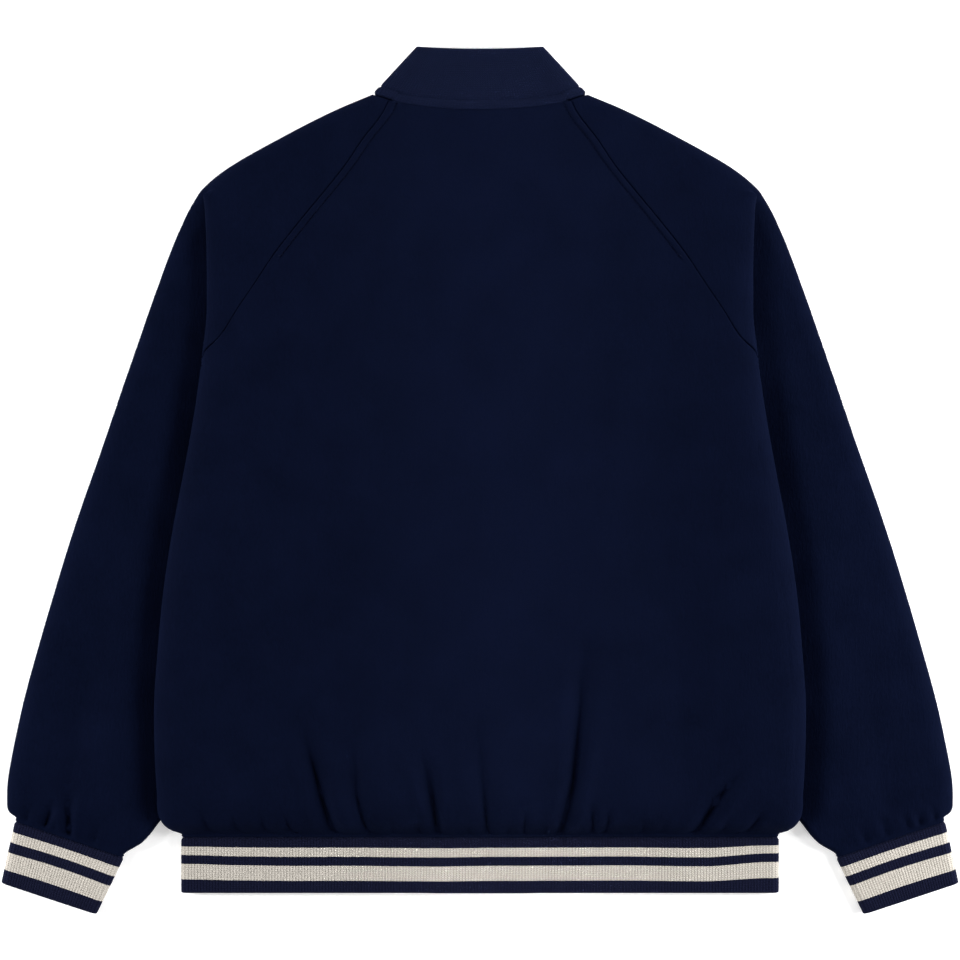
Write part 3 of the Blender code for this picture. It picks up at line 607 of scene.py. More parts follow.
def upper_sections(side):
    """Rows of the back half, the sleeve and the front above the underarm."""
    lift = LIFTS[side]
    rows = {"back": [], "sleeve": [], "front": []}
    for y in section_ys(NECK_RAGLAN_Y, UNDERARM_Y, BACK_ROW_STEP, True, False)[:-1]:
        path = upper_path(y, lift)
        raglan_x = read(RAGLAN, y)
        outer_x = outer_edge(y)
        front_x = front_raglan(y)
        back_seam = raglan_length(path, y, raglan_x)
        front_seam = path.at_x(front_x, path.marks["bottom"], path.marks["bottom_end"])
        turned = path.length[path.middle("outer")]
        gap = SEAM_GAP / 2 * (edge_slope(RAGLAN, y) + 3.5 * smooth(1.0 - abs(y - RAGLAN_TURN_Y) / 30.0)
                              + 3.0 * smooth((80.0 - y) / 20.0))
        widths = {
            "back": lipped(path, 0.0, back_seam - gap, BACK_COLUMNS, False, True),
            "sleeve": lipped(path, back_seam + gap, front_seam - SEAM_GAP / 2, SLEEVE_COLUMNS, True, True),
            "front": lipped(path, front_seam + SEAM_GAP / 2, path.length[-1], FRONT_COLUMNS, True, False),
        }
        add_rows(rows, side, path, turned, widths,
                 lambda below, x: level(y, below, x, raglan_x, outer_x, front_x))
    return rows


def lower_sections(side):
    """Rows of the back half and the front below the underarm."""
    rows = {"back": [], "front": []}
    for y in section_ys(UNDERARM_Y, HEM_SEAM_Y, BACK_ROW_STEP, False, True):
        path = lower_path(y, LIFTS[side])
        seam = path.at_x(side_seam(y), path.marks["bottom"], path.marks["bottom_end"])
        gap = SIDE_GAP / 2 * (1.0 + 3.0 * smooth((y + 10.0) / 30.0))
        widths = {
            "back": lipped(path, 0.0, seam - gap, BACK_COLUMNS, False, True),
            "front": lipped(path, seam + gap, path.length[-1], FRONT_COLUMNS, True, False),
        }
        add_rows(rows, side, path, path.length[path.middle("fold")], widths,
                 lambda below, x: np.full_like(x, max(y, HEM_SEAM_Y + SEAM_GAP / 2)))
    return rows


FOLD_LINE = ([-row[0] for row in FOLD], [row[1] for row in FOLD])


def past_fold(x, y):
    """How far points of a sleeve lie outside the edge of the body above them."""
    return x - np.interp(-y, *FOLD_LINE)


def sleeve_sections(side):
    """Closed rows of the sleeve below the underarm."""
    table = np.array(SLEEVE, float)
    gaps = np.hypot(*(table[1:, :2] + table[1:, 2:4] - table[:-1, :2] - table[:-1, 2:4]).T) / 2
    places = np.concatenate(([0.0], np.cumsum(gaps)))
    slopes = np.array([slopes_of(places, column) for column in table.T]).T
    rows = []
    marks = [*np.linspace(0, places[-1] - 12.0, 118),
             *(places[-1] - d for d in (9.6, 7.2, 5.2, 3.8, 2.6, 1.7, 1.0, 0.45, 0.0))]
    for mark in marks:
        i = int(np.clip(np.searchsorted(places, mark, side="right") - 1, 0, len(places) - 2))
        span = places[i + 1] - places[i]
        corners = cubic((mark - places[i]) / span, span, table[i:i + 2], slopes[i:i + 2])
        outer_x, outer_y, inner_x, inner_y, full = corners
        end = smooth((mark - places[-3]) / (places[-2] - places[-3]))
        width = math.hypot(outer_x - inner_x, outer_y - inner_y)
        roll = OUTER_ROLL + (CUFF_ROLL - OUTER_ROLL) * end
        inner_roll = INNER_ROLL + (CUFF_ROLL - INNER_ROLL) * end
        rest = WOOL_REST + (RIB_REST - WOOL_REST) * end
        low = min(read(HEIGHT, inner_y, 4), full)
        low += (min(full, 10.0) - low) * smooth((-inner_y - 290.0) / 20.0)
        path = Path()

        def across(s):
            return inner_x + (outer_x - inner_x) * s / width, inner_y + (outer_y - inner_y) * s / width

        def top(s):
            return low + (full - low) * smooth((past_fold(*across(s)) + 5.0) / 32.0)

        path.turn(inner_roll, inner_roll, rest, float(top(inner_roll)), -1, "inner", 3.0)
        path.run(inner_roll, width - roll, top, "layer")
        path.turn(width - roll, roll, path.z[-1], rest, 1, "outer", 3.0)
        path.run(width - roll, inner_roll, lambda s: rest, "bottom")
        path.finish()
        start = path.length[path.middle("inner")]
        columns = SLEEVE_COLUMNS + 2 * (len(LIP_STEPS) - 1)
        steps = np.interp(start, path.length, path.share) + path.share[-1] * np.arange(columns) / columns
        steps = np.where(steps > path.share[-1], steps - path.share[-1], steps)
        lengths = np.interp(steps, path.share, path.length)
        s, z = path.points(lengths)
        below = (lengths > path.length[path.middle("outer")]) | (lengths < start)
        x, y = across(s)
        rows.append(np.stack((side * x, y, z, 0.0 * x, below * 1.0), axis=1))
    return rows


def row_distance(grid):
    """Distances of each point from the first and the last column, along its row."""
    steps = np.linalg.norm(np.diff(grid[..., :3], axis=1), axis=2)
    run = np.concatenate((np.zeros((len(grid), 1)), np.cumsum(steps, axis=1)), axis=1)
    return run, run[:, -1:] - run


def column_distance(grid):
    """Distances of each point from the first and the last row, along its column."""
    steps = np.linalg.norm(np.diff(grid[..., :3], axis=0), axis=2)
    run = np.concatenate((np.zeros((1, grid.shape[1])), np.cumsum(steps, axis=0)), axis=0)
    return run, run[-1:] - run


def ride(piece, node, *materials):
    for material in materials:
        piece.data.materials.append(material)
    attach(piece, "root")
    if node:
        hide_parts(node)
    return piece


class Look:
    """A material and the few kinds of node in its graph."""

    def __init__(self, name):
        self.material = bpy.data.materials.new(name)
        self.material.use_nodes = True
        self.nodes = self.material.node_tree.nodes
        self.place = self.nodes.new("ShaderNodeTexCoord").outputs["Object"]

    def feed(self, socket, value):
        if isinstance(value, bpy.types.NodeSocket):
            self.material.node_tree.links.new(value, socket)
        else:
            socket.default_value = value

    def node(self, kind, **inputs):
        node = self.nodes.new(kind)
        for name, value in inputs.items():
            self.feed(node.inputs[name], value)
        return node

    def shade(self, inputs):
        for name, value in inputs.items():
            self.feed(self.nodes["Principled BSDF"].inputs[name], value)
        return self.material

    def noise(self, scale, detail, roughness, stretch=None, turn=0.0):
        source = self.place
        if stretch:
            mapping = self.node("ShaderNodeMapping", Vector=source, Scale=stretch, Rotation=(0.0, 0.0, turn))
            source = mapping.outputs["Vector"]
        return self.node("ShaderNodeTexNoise", Vector=source, Scale=scale, Detail=detail,
                         Roughness=roughness).outputs["Fac"]

    def maths(self, operation, *values):
        node = self.nodes.new("ShaderNodeMath")
        node.operation = operation
        for socket, value in zip(node.inputs, values):
            self.feed(socket, value)
        return node.outputs[0]

    def times(self, value, factor):
        return self.maths("MULTIPLY", value, factor)

    def scaled(self, value, factor, base):
        return self.maths("MULTIPLY_ADD", value, factor, base)

    def ramp(self, factor, places, *colours):
        node = self.node("ShaderNodeValToRGB", Fac=factor)
        elements = node.color_ramp.elements
        while len(elements) < len(places):
            elements.new(0.5)
        for element, place, colour in zip(elements, places, colours):
            element.position = place
            element.color = (*colour, 1.0)
        return node.outputs["Color"]

    def bump(self, height, distance, strength, **below):
        return self.node("ShaderNodeBump", Height=height, Distance=distance, Strength=strength,
                         **below).outputs["Normal"]


def halfway(dark, light):
    return tuple((a + b) / 2 for a, b in zip(dark, light))


def wool(name, dark, light):
    """Felted melton: a matted surface with a short nap, a faint twill under it and soft mottling."""
    look = Look(name)
    cloud = look.noise(26.0, 3.0, 0.55)
    fleck = look.noise(520.0, 4.0, 0.62)
    nap = look.noise(700.0, 3.0, 0.6, (1.0, 0.32, 1.0), 0.5)
    twill = look.noise(430.0, 2.0, 0.5, (1.0, 0.16, 1.0), -0.9)
    mottle = look.scaled(cloud, 0.38, look.times(fleck, 0.62))
    matted = look.scaled(nap, 0.7, look.times(twill, 0.5))
    return look.shade({
        "Base Color": look.ramp(mottle, (0.30, 0.50, 0.72), dark, halfway(dark, light), light),
        "Roughness": look.scaled(fleck, 0.16, 0.78),
        "Normal": look.bump(matted, 0.0010, 0.55, Normal=look.bump(cloud, 0.004, 0.30)),
        "Specular IOR Level": 0.012,
        "Sheen Weight": 0.012,
        "Sheen Roughness": 0.42,
        "Sheen Tint": (0.20, 0.34, 0.90, 1.0),
    })


def knitted(name, dark, light, sheen, tint):
    """Rib knit: rows of V-shaped loops up each wale, with painted shade that darkens the grooves between the
    wales, and a slight halo of fibre.
    """
    look = Look(name)
    thread = look.nodes.new("ShaderNodeAttribute")
    thread.attribute_name = "knit"
    parts = look.node("ShaderNodeSeparateXYZ", Vector=thread.outputs["Vector"])
    off = look.maths("ABSOLUTE", look.maths("SUBTRACT", look.maths("FRACT", parts.outputs["X"]), 0.5))
    course = look.times(look.scaled(off, 1.1, parts.outputs["Y"]), 2 * math.pi)
    loop = look.scaled(look.maths("SINE", course), 0.5, 0.5)
    fleck = look.noise(620.0, 4.0, 0.62)
    cloud = look.noise(30.0, 2.0, 0.5)
    # Painted shade: the base colour darkens from each wale's crown into the groove beside it.
    painted_groove_shade = look.maths("SUBTRACT", 1.0, look.times(off, 1.35))
    tone = look.scaled(loop, 0.20, look.times(painted_groove_shade, 0.42))
    tone = look.scaled(cloud, 0.12, look.scaled(fleck, 0.36, tone))
    return look.shade({
        "Base Color": look.ramp(tone, (0.30, 0.58, 0.86), dark, halfway(dark, light), light),
        "Roughness": look.scaled(fleck, 0.14, 0.76),
        "Normal": look.bump(look.scaled(fleck, 0.5, loop), 0.0006, 0.7),
        "Specular IOR Level": 0.02,
        "Sheen Weight": sheen,
        "Sheen Roughness": 0.45,
        "Sheen Tint": (*tint, 1.0),
    })


def thread_material(name, dark, light):
    look = Look(name)
    ply = look.noise(1800.0, 2.0, 0.5, (1.0, 0.4, 1.0), 0.6)
    return look.shade({
        "Base Color": look.ramp(ply, (0.35, 0.65), dark, light),
        "Normal": look.bump(ply, 0.0002, 0.6),
        "Roughness": 0.7,
        "Specular IOR Level": 0.1,
    })


def brushed_metal(name, dark, light):
    look = Look(name)
    scratch = look.noise(900.0, 3.0, 0.6, (1.0, 0.1, 1.0), 0.3)
    return look.shade({
        "Base Color": look.ramp(scratch, (0.3, 0.7), dark, light),
        "Roughness": look.scaled(scratch, 0.2, 0.22),
        "Metallic": 1.0,
    })


BACK_WOOL = wool("navy_melton_back", (0.0011, 0.0021, 0.0082), (0.0021, 0.0038, 0.0144))
SLEEVE_WOOL = wool("navy_melton_sleeve", (0.0010, 0.0020, 0.0079), (0.0021, 0.0038, 0.0145))
FRONT_WOOL = wool("navy_melton_front", (0.0011, 0.0021, 0.0082), (0.0021, 0.0038, 0.0144))
NAVY_RIB = knitted("navy_rib", (0.0028, 0.0035, 0.0115), (0.0074, 0.0088, 0.0245), 0.02, (0.45, 0.50, 0.85))
COLLAR_RIB = knitted("navy_rib_collar", (0.0016, 0.0030, 0.0116), (0.0047, 0.0074, 0.0240), 0.015,
                     (0.30, 0.42, 0.85))
CREAM_RIB = knitted("cream_rib", (0.31, 0.285, 0.25), (0.55, 0.515, 0.465), 0.08, (1.0, 0.98, 0.92))
THREAD = thread_material("navy_thread", (0.0012, 0.0022, 0.0110), (0.0030, 0.0050, 0.0220))
SNAP_METAL = brushed_metal("snap_steel", (0.48, 0.49, 0.51), (0.66, 0.67, 0.69))


def body():
    """The back, both sleeves and both fronts, and the lines that the back's topstitching follows."""
    halves = {}
    for name, side in (("left", -1), ("right", 1)):
        above = upper_sections(side)
        below = lower_sections(side)
        halves[side] = np.array(above["back"] + below["back"])
        make_front(name, side, np.array(above["front"] + below["front"]))
        make_sleeve(name, side, np.array(above["sleeve"] + sleeve_sections(side)), len(above["sleeve"]))
    above_count = len(above["back"])
    grid = np.concatenate((halves[-1][:, :0:-1], halves[1]), axis=1)
    x, y, top = grid[..., 0], grid[..., 1], grid[..., 3]
    near_edge = np.minimum(*row_distance(grid))
    upper, lower = column_distance(grid)
    calm = smooth(near_edge / 60.0) * smooth(upper / 50.0) * smooth(lower / 26.0)
    above_hem = HEM_SEAM_Y + 1.5
    shown = top * smooth(near_edge / 25.0)
    shape = fold_depth(GATHERS, x, y, end_at=above_hem) + fold_depth(SWELLS, x, y, fade=70.0)
    room = np.maximum(grid[..., 2] - FRONTS_TOP, LEAST_ROOM)
    drawn = fold_depth(GATHERS, x, y, end_at=above_hem, pinch=PINCH) * shown
    grid[..., 2] -= np.where(shape > 0, room * np.tanh(shape / room), shape) * shown
    grid[..., 0] -= drawn
    grid[..., 2] += top * calm * (0.55 * ripple(x, y, 105.0, 5) + 0.22 * ripple(x, y, 38.0, 9))
    seam = np.where(np.arange(len(grid))[:, None] < above_count, near_edge, FAR)
    detail = lip(seam, 1.2, 0.6) + lip(upper, 1.6, 0.9) + lip(lower, 1.5, 0.9)
    stitched = smooth((y - STITCH_END_Y + 2.0) / 3.0) * (seam < FAR)
    detail += stitched * 0.7 * (smooth(seam / 2.0) - smooth((seam - STITCH_LINE + 1.0) / 1.2))
    detail -= stitched * np.exp(-((seam - STITCH_LINE) / 0.9) ** 2)
    detail += top * 0.05 * calm * ripple(x, y, 11.0, 21)
    piece = shell("back_panel", grid[..., :3], WOOL, -1, detail, stride=(5, 5))
    ride(piece, "back", BACK_WOOL)
    normal = normals_of(grid[..., :3], -1)
    surface = grid[..., :3] + normal * (WOOL / 2 + detail[..., None])
    stitch_columns = LIP_STEPS.index(STITCH_LINE)
    runs = []
    for side in (-1, 1):
        column = stitch_columns if side < 0 else grid.shape[1] - 1 - stitch_columns
        rows = [r for r in range(above_count) if grid[r, column, 1] > STITCH_END_Y]
        runs.append((surface[rows, column], normal[rows, column]))
        across = np.array([surface[rows[-1], column + side * k] for k in range(0, stitch_columns, 2)])
        runs.append((across, np.repeat(normal[rows[-1], column][None], len(across), axis=0)))
    return piece, runs


def make_front(name, side, grid):
    x, y = grid[..., 0], grid[..., 1]
    first, last = row_distance(grid)
    upper, lower = column_distance(grid)
    calm = smooth(first / 30.0) * smooth(last / 40.0) * smooth(upper / 30.0)
    grid[..., 2] += calm * fold_depth(FRONT_FOLDS, x, y, end_at=HEM_SEAM_Y + 2.0)
    detail = lip(upper) + lip(lower, 1.5, 0.9) + lip(last, 1.2, 0.8)
    detail += np.where(y > UNDERARM_Y - 4.0, lip(first, 1.7, 1.0), 0.0)
    detail -= 0.3 * np.exp(-((last - 26.0) / 0.8) ** 2)
    piece = shell("front_panel_" + name, grid[..., :3], WOOL, -side, detail, stride=(4, 4))
    ride(piece, "front_" + name, FRONT_WOOL)


def make_sleeve(name, side, grid, closed_from):
    x, y, below = grid[..., 0], grid[..., 1], grid[..., 4]
    first, last = row_distance(grid)
    upper, lower = column_distance(grid)
    open_rows = np.arange(len(grid))[:, None] < closed_from
    seam = np.where(open_rows, np.minimum(first, last), FAR)
    calm = smooth(seam / 30.0) * smooth(upper / 40.0) * smooth(lower / 30.0)
    shown = smooth((past_fold(np.abs(x), y) + 4.0) / 18.0) * (1.0 - below)
    grid[..., 2] -= shown * fold_depth(CUFF_FOLDS[side], x, y, fade=12.0) * smooth((lower - 1.5) / 7.0)
    swells = 0.6 * ripple(x, y, 90.0, 31 + side) + 0.25 * ripple(x, y, 34.0, 41 + side)
    grid[..., 2] += shown * calm * swells
    detail = lip(seam) + lip(upper) + lip(lower, 1.5, 0.9)
    piece = shell("sleeve_panel_" + name, grid[..., :3], WOOL, -side, detail, closed_from, stride=(4, 4))
    ride(piece, "sleeve_" + name, SLEEVE_WOOL)


def ring_faces(base, spokes, k):
    """Quads between ring k and the next of a round shape whose points start at base."""
    low = base + spokes * k
    turned = [(j + 1) % spokes for j in range(spokes)]
    return [[low + j, low + n, low + spokes + n, low + spokes + j] for j, n in enumerate(turned)]


def stitches(name, lines, length=2.7, gap=0.75, radius=0.3):
    """Short threads that sink into the cloth at both ends, along lines of points and directions."""
    spokes = 6
    # A stitch as (place along it, lift above the cloth, thickness)
    form = ((0.0, -0.35, 0.4), (0.12, -0.02, 0.8), (0.35, 0.2, 1.0), (0.65, 0.2, 1.0), (0.88, -0.02, 0.8),
            (1.0, -0.35, 0.4))
    points = []
    faces = []
    for line, ups in lines:
        run = np.concatenate(([0.0], np.cumsum(np.linalg.norm(np.diff(line, axis=0), axis=1))))
        for start in np.arange(0.6, run[-1] - length, length + gap):
            marks = start + length * np.array([row[0] for row in form])
            centre = np.stack([np.interp(marks, run, line[:, k]) for k in range(3)], axis=1)
            up = np.stack([np.interp(marks, run, ups[:, k]) for k in range(3)], axis=1)
            along = centre[-1] - centre[0]
            along /= np.linalg.norm(along)
            base = len(points)
            for k, (_, lift, thick) in enumerate(form):
                side = np.cross(along, up[k])
                for j in range(spokes):
                    angle = 2 * math.pi * j / spokes
                    spoke = side * math.cos(angle) + up[k] * math.sin(angle)
                    points.append(centre[k] + up[k] * lift + spoke * radius * thick)
            for k in range(len(form) - 1):
                faces += ring_faces(base, spokes, k)
            faces.append([base + j for j in reversed(range(spokes))])
            faces.append([len(points) - spokes + j for j in range(spokes)])
    piece = new_piece(name, (np.array(points) * MM).tolist(), faces)
    ride(piece, None, THREAD)
    return piece


def rib_surface(grid, places=None, depth=0.5, seam_lip=(1.6, 1.2), edge_lip=(1.4, 1.1)):
    """A rib's relief, and its wales and courses counted at each point."""
    upper, lower = column_distance(grid)
    count = np.arange(grid.shape[1])
    phase = (count % WALE_POINTS) / WALE_POINTS
    relief = depth * (np.sqrt(np.abs(np.sin(math.pi * phase))) - 1.0) + 0.15
    detail = relief * smooth(upper / 1.5) * smooth((lower + 0.6) / 1.6)
    detail += lip(upper, *seam_lip) + lip(lower, *edge_lip)
    knit = np.zeros_like(grid)
    knit[..., 0] = count / WALE_POINTS
    knit[..., 1] = (upper if places is None else places[:, None]) / COURSE
    return detail, knit, upper


def rib_rows(stripes):
    """Distances of a rib's rows from its seam, one at each stripe's edge, and the colours between them."""
    places = []
    colours = []
    for (start, colour), (end, _) in zip(stripes, stripes[1:]):
        count = max(int(round((end - start) / RIB_ROW_STEP)), 1)
        places += list(np.linspace(start, end, count + 1)[:-1])
        colours += [colour] * count
    last = stripes[-1][0]
    places += [last - 0.8, last - 0.25, last]
    places[-4:] = sorted(places[-4:])
    return np.array(places), colours + [0, 0]


def hem_band():
    places, colours = rib_rows(HEM_STRIPES)
    halves = []
    for side, lift in ((-1, LIFTS[-1]), (1, LIFTS[1] + 0.5)):
        edge = HEM_HALF - CUFF_ROLL
        path = Path()
        path.run(0, edge, lambda x: HEM_TOP_Z + HEM_BUMP * (1.0 - smooth((x - 34.0) / 24.0)), "top")
        path.turn(edge, CUFF_ROLL, HEM_TOP_Z, RIB_REST, 1, "fold", 0.0)
        path.run(edge, -OVERLAP, lambda x: front_height(np.maximum(x, 0.0), lift, RIB_REST), "bottom")
        path.finish()
        wales = int(path.length[-1] / WALE)
        lengths = np.linspace(0.0, path.length[-1], wales * WALE_POINTS + 1)
        x, z = path.points(lengths)
        top = lengths < path.length[path.middle("fold")]
        halves.append(np.stack((side * x, z, top * 1.0), axis=1))
    x, z, top = np.concatenate((halves[0][:0:-1], halves[1])).T
    rows = []
    start = HEM_SEAM_Y - SEAM_GAP / 2
    rise = 3.4 * smooth((x - 195.0) / 60.0) + 1.4 * smooth((-x - 215.0) / 45.0)
    pull = 0.8 * np.sin(x / 47.0) + 0.5 * np.sin(x / 19.0 + 1.0)
    gathered = fold_depth(GATHERS, x, np.full_like(x, HEM_SEAM_Y + 14.0)) * 0.10
    for v in places / HEM_STRIPES[-1][0]:
        inner = math.sin(math.pi * min(v, 1.0)) ** 0.8
        y = start - (start - HEM_END_Y) * v + top * inner * (rise + 0.45 * pull)
        wave = gathered * max(1.0 - v * 2.4, 0.0) * smooth((0.95 - v) * 20.0)
        rows.append(np.stack((x, y, z + top * (0.5 * math.sin(math.pi * v) - wave)), axis=1))
    grid = np.array(rows)
    detail, knit, _ = rib_surface(grid, places)
    piece = shell("hem_rib", grid, RIB, -1, detail, None, (3, 12), colours, knit)
    ride(piece, "hem_band", NAVY_RIB, CREAM_RIB)


def cuff(name, side):
    places, colours = rib_rows(CUFF_STRIPES)
    first, middle, end = np.array(CUFF, float)
    rows = []
    columns = None
    for t in places / CUFF_STRIPES[-1][0]:
        corners = first * (1 - t) * (1 - 2 * t) + middle * 4 * t * (1 - t) + end * t * (2 * t - 1)
        outer_x, outer_y, inner_x, inner_y = corners
        width = math.hypot(outer_x - inner_x, outer_y - inner_y)
        path = Path()
        path.turn(CUFF_ROLL, CUFF_ROLL, RIB_REST, CUFF_TOP_Z, -1, "inner", 0.0)
        path.run(CUFF_ROLL, width - CUFF_ROLL, lambda s: CUFF_TOP_Z, "top")
        path.turn(width - CUFF_ROLL, CUFF_ROLL, CUFF_TOP_Z, RIB_REST, 1, "outer", 0.0)
        path.run(width - CUFF_ROLL, CUFF_ROLL, lambda s: RIB_REST, "bottom")
        path.finish()
        if columns is None:
            columns = int(path.length[-1] / WALE) * WALE_POINTS
        s, z = path.points(path.length[-1] * np.arange(columns) / columns)
        share = s / width
        top = smooth((z - 4.0) / 3.0)
        swell = top * math.sin(math.pi * t)
        x = inner_x + (outer_x - inner_x) * share
        y = inner_y + (outer_y - inner_y) * share + 1.6 * swell * np.sin(math.pi * share)
        puff = 0.7 * swell * np.sin(math.pi * np.clip(share, 0, 1))
        rows.append(np.stack((side * x, y, z + puff), axis=1))
    grid = np.array(rows)
    detail, knit, _ = rib_surface(grid, places)
    piece = shell("cuff_rib_" + name, grid, RIB, -side, detail, 0, (3, 6), colours, knit)
    ride(piece, "cuff_" + name, NAVY_RIB, CREAM_RIB)


def collar_height(x, t):
    low = 13.0 - 4.0 * t
    return low + 2.0 * (1.0 - t) * (1.0 - smooth(x / (NECK_SIDE[0] - FOLD_ROLL)) ** 1.3)


def collar_edge(share, front):
    behind = COLLAR_BACK_Y + (COLLAR_SIDE_Y - COLLAR_BACK_Y) * np.clip(share, 0, 1) ** 2.2
    before = COLLAR_SIDE_Y - (COLLAR_SIDE_Y - COLLAR_FRONT_Y) * np.sqrt(np.clip(1.0 - share ** 2, 0.0, 1.0))
    return np.where(front, before, behind)


def collar():
    marks = [0.0, 0.012, 0.03, 0.06, 0.09, 0.115, 0.13, 0.145, 0.16, 0.175, 0.19, 0.21, 0.25,
             *np.linspace(0.3, 0.95, 14), 0.975, 0.99, 1.0]
    rows = []
    columns = None
    for t in marks:
        half = NECK_SIDE[0] + (COLLAR_HALF - NECK_SIDE[0]) * t
        roll = NECK_ROLL + (8.0 - NECK_ROLL) * t
        halves = []
        for side in (-1, 1):
            path = Path()
            path.run(0, half - roll, lambda x: collar_height(x * NECK_SIDE[0] / half, t), "top")
            path.turn(half - roll, roll, path.z[-1], RIB_REST, 1, "fold", 0.0)
            lift = LIFTS[side] * (1.0 - t)
            path.run(half - roll, COLLAR_END, lambda x: front_height(x, lift, RIB_REST), "bottom")
            path.finish()
            if columns is None:
                columns = int(path.length[-1] / WALE) * WALE_POINTS + 1
            lengths = np.linspace(0.0, path.length[-1], columns)
            x, z = path.points(lengths)
            front = lengths > path.length[path.middle("fold")]
            seam = level(NECK_RAGLAN_Y, front, x * NECK_SIDE[0] / half, RAGLAN[0][1], NECK_SIDE[0],
                         FRONT_RAGLAN_TOP[0])
            edge = collar_edge(x / half, front)
            gap = np.where(front | (x >= 76.0), 1.2, -0.6) * max(1.0 - t / 0.03, 0.0)
            y = seam + (edge - seam) * t + gap
            halves.append(np.stack((side * (x - 0.5 * gap), y, z, 1.0 - front), axis=1))
        rows.append(np.concatenate((halves[0][:0:-1], halves[1])))
    grid = np.array(rows)
    x, y, top = grid[..., 0], grid[..., 1], grid[..., 3]
    t = np.array(marks)[:, None]
    waves = 0.25 * ripple(x, y, 60.0, 77) * smooth(t * 6) * smooth((1 - t) * 6)
    grid[..., 2] += top * (0.9 * np.sin(math.pi * t) ** 1.2 + waves)
    grid = grid[..., :3]
    detail, knit, upper = rib_surface(grid, None, 0.28, (2.0, 1.2), (1.6, 1.2))
    detail += top * 0.4 * smooth(upper / 2.5) * (1.0 - smooth((upper - 6.4) / 1.6))
    detail -= 0.9 * np.exp(-((upper - 8.4) / 1.2) ** 2)
    piece = shell("collar_rib", grid, RIB, 1, detail, stride=(3, 6), knit=knit)
    ride(piece, "collar", COLLAR_RIB)


def snap(number):
    """A domed cap with a rolled rim and a dimpled face, its face down."""
    low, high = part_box("snap_%d" % number)
    x = (low[0] + high[0]) / 2
    y = (low[1] + high[1]) / 2
    radius = (high[0] - low[0]) / 2
    height = high[2] - low[2]
    spokes = 40
    # The cap as (share of its radius, share of its height)
    profile = ((0.0, 0.30), (0.30, 0.26), (0.46, 0.12), (0.55, 0.02), (0.72, 0.0), (0.86, 0.05), (0.95, 0.18),
               (1.0, 0.42), (1.0, 0.75), (0.96, 1.0), (0.0, 1.0))
    points = []
    for share, z in profile:
        for k in range(spokes):
            angle = 2 * math.pi * k / spokes
            points.append((x + radius * share * math.cos(angle), y + radius * share * math.sin(angle),
                           low[2] + height * z))
    faces = [face for r in range(len(profile) - 1) for face in ring_faces(0, spokes, r)]
    piece = new_piece("snap_cap_%d" % number, points, faces, weld=True, crease=40)
    ride(piece, "snap_%d" % number, SNAP_METAL)


# Lights in metres and watts: (name, place, target, size, power)
LIGHTS = (
    ("above", (0.45, 0.1, 3.1), (0.0, 0.0, 0.0), (0.7, 1.6), 13.5),
    ("right_box", (1.6, 0.0, 0.42), (0.15, -0.05, 0.0), (0.5, 1.8), 70.0),
    ("left_box", (-1.6, 0.0, 0.30), (-0.15, -0.05, 0.0), (0.3, 1.8), 54.0),
    ("foot_box", (0.0, -1.7, 0.6), (0.0, -0.25, 0.0), (1.6, 0.5), 10.0),
    ("head_box", (0.0, 1.8, 0.42), (0.0, 0.2, 0.0), (1.8, 0.5), 26.0),
    ("centre_strip", (0.03, 0.0, 3.4), (0.03, 0.0, 0.0), (0.10, 0.9), 0.2),
)
STRIP_SPREAD = math.radians(6.0)
FLOOR_REACH = 6.0
FLOOR_Z = -0.0006
WHITE = (1.0, 1.0, 1.0, 1.0)
# The camera's lens and sensor, the width that fills the picture and the height at which it does
LENS = 100.0
SENSOR = 36.0
VIEW_WIDTH = 0.842
VIEW_Z = 0.010


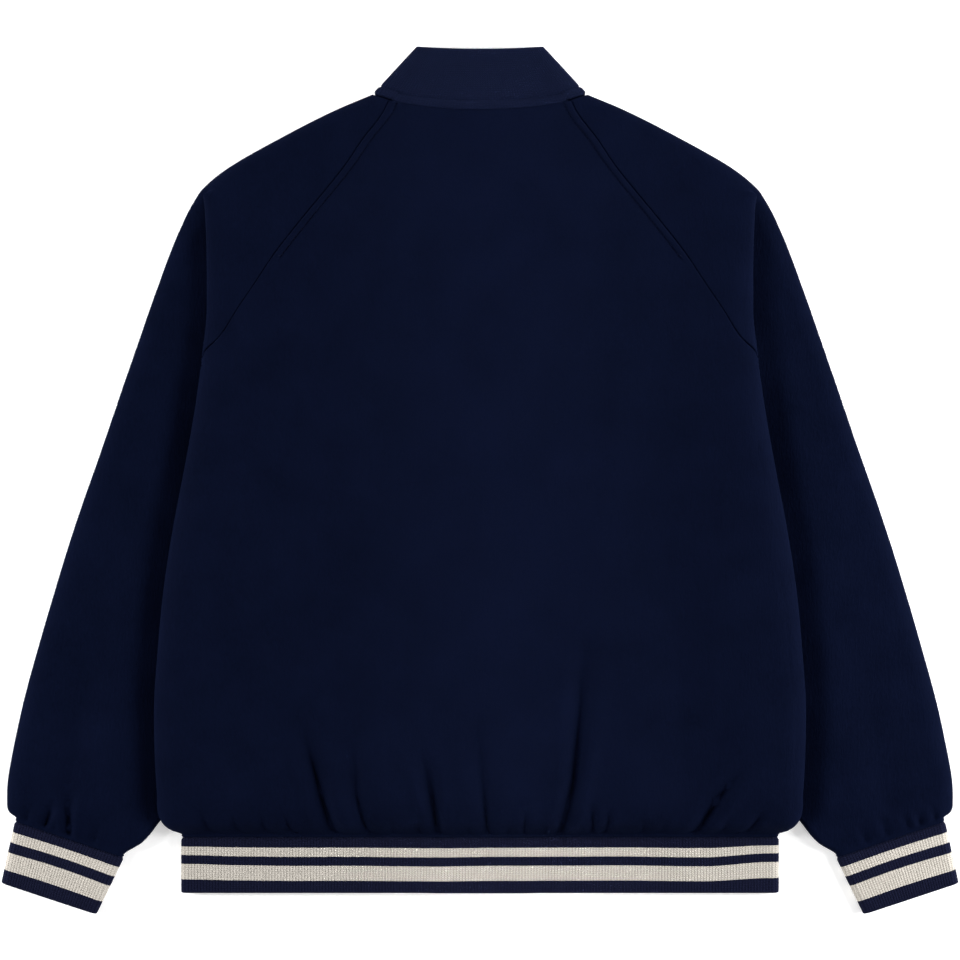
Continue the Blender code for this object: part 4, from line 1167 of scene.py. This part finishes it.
def area_light(name, place, target, size, power):
    light = bpy.data.lights.new(name, "AREA")
    light.shape = "RECTANGLE"
    light.size, light.size_y = size
    light.energy = power
    lamp = bpy.data.objects.new(name, light)
    bpy.context.scene.collection.objects.link(lamp)
    aim = np.array(target) - np.array(place)
    reach = math.hypot(aim[0], aim[1])
    lamp.location = place
    yaw = math.atan2(aim[1], aim[0]) if reach > 1e-6 else math.pi / 2
    lamp.rotation_euler = (math.atan2(reach, -aim[2]), 0.0, yaw - math.pi / 2)
    return light


def studio():
    """A white floor, a pale world, four low soft boxes, a broad light and a faint narrow one from above."""
    mesh = bpy.data.meshes.new("floor")
    corners = ((-1, -1), (1, -1), (1, 1), (-1, 1))
    mesh.from_pydata([(FLOOR_REACH * x, FLOOR_REACH * y, FLOOR_Z) for x, y in corners], [], [[0, 1, 2, 3]])
    floor = bpy.data.objects.new("floor", mesh)
    bpy.context.scene.collection.objects.link(floor)
    material = bpy.data.materials.new("floor_white")
    material.use_nodes = True
    shader = material.node_tree.nodes["Principled BSDF"]
    shader.inputs["Base Color"].default_value = (0.94, 0.94, 0.94, 1.0)
    shader.inputs["Roughness"].default_value = 0.9
    shader.inputs["Emission Color"].default_value = WHITE
    shader.inputs["Emission Strength"].default_value = 0.25
    mesh.materials.append(material)
    world = bpy.data.worlds.new("studio")
    bpy.context.scene.world = world
    world.use_nodes = True
    world.node_tree.nodes["Background"].inputs["Color"].default_value = WHITE
    world.node_tree.nodes["Background"].inputs["Strength"].default_value = 0.17
    for row in LIGHTS:
        light = area_light(*row)
        if row[0] == "centre_strip":
            light.spread = STRIP_SPREAD


def camera():
    """Straight above the jacket, far enough off for little perspective."""
    lens = bpy.data.cameras.new("camera")
    lens.lens = LENS
    lens.sensor_width = SENSOR
    lens.clip_end = 30.0
    view = bpy.data.objects.new("camera", lens)
    view.location = (0.0, 0.0, VIEW_WIDTH * LENS / SENSOR + VIEW_Z)
    bpy.context.scene.collection.objects.link(view)
    bpy.context.scene.camera = view
    bpy.context.scene.view_settings.view_transform = "Standard"


back, stitch_runs = body()
threads = stitches("raglan_stitching", stitch_runs)
hem_band()
for name, side in (("left", -1), ("right", 1)):
    cuff(name, side)
collar()
for number in range(1, 8):
    snap(number)
studio()
camera()
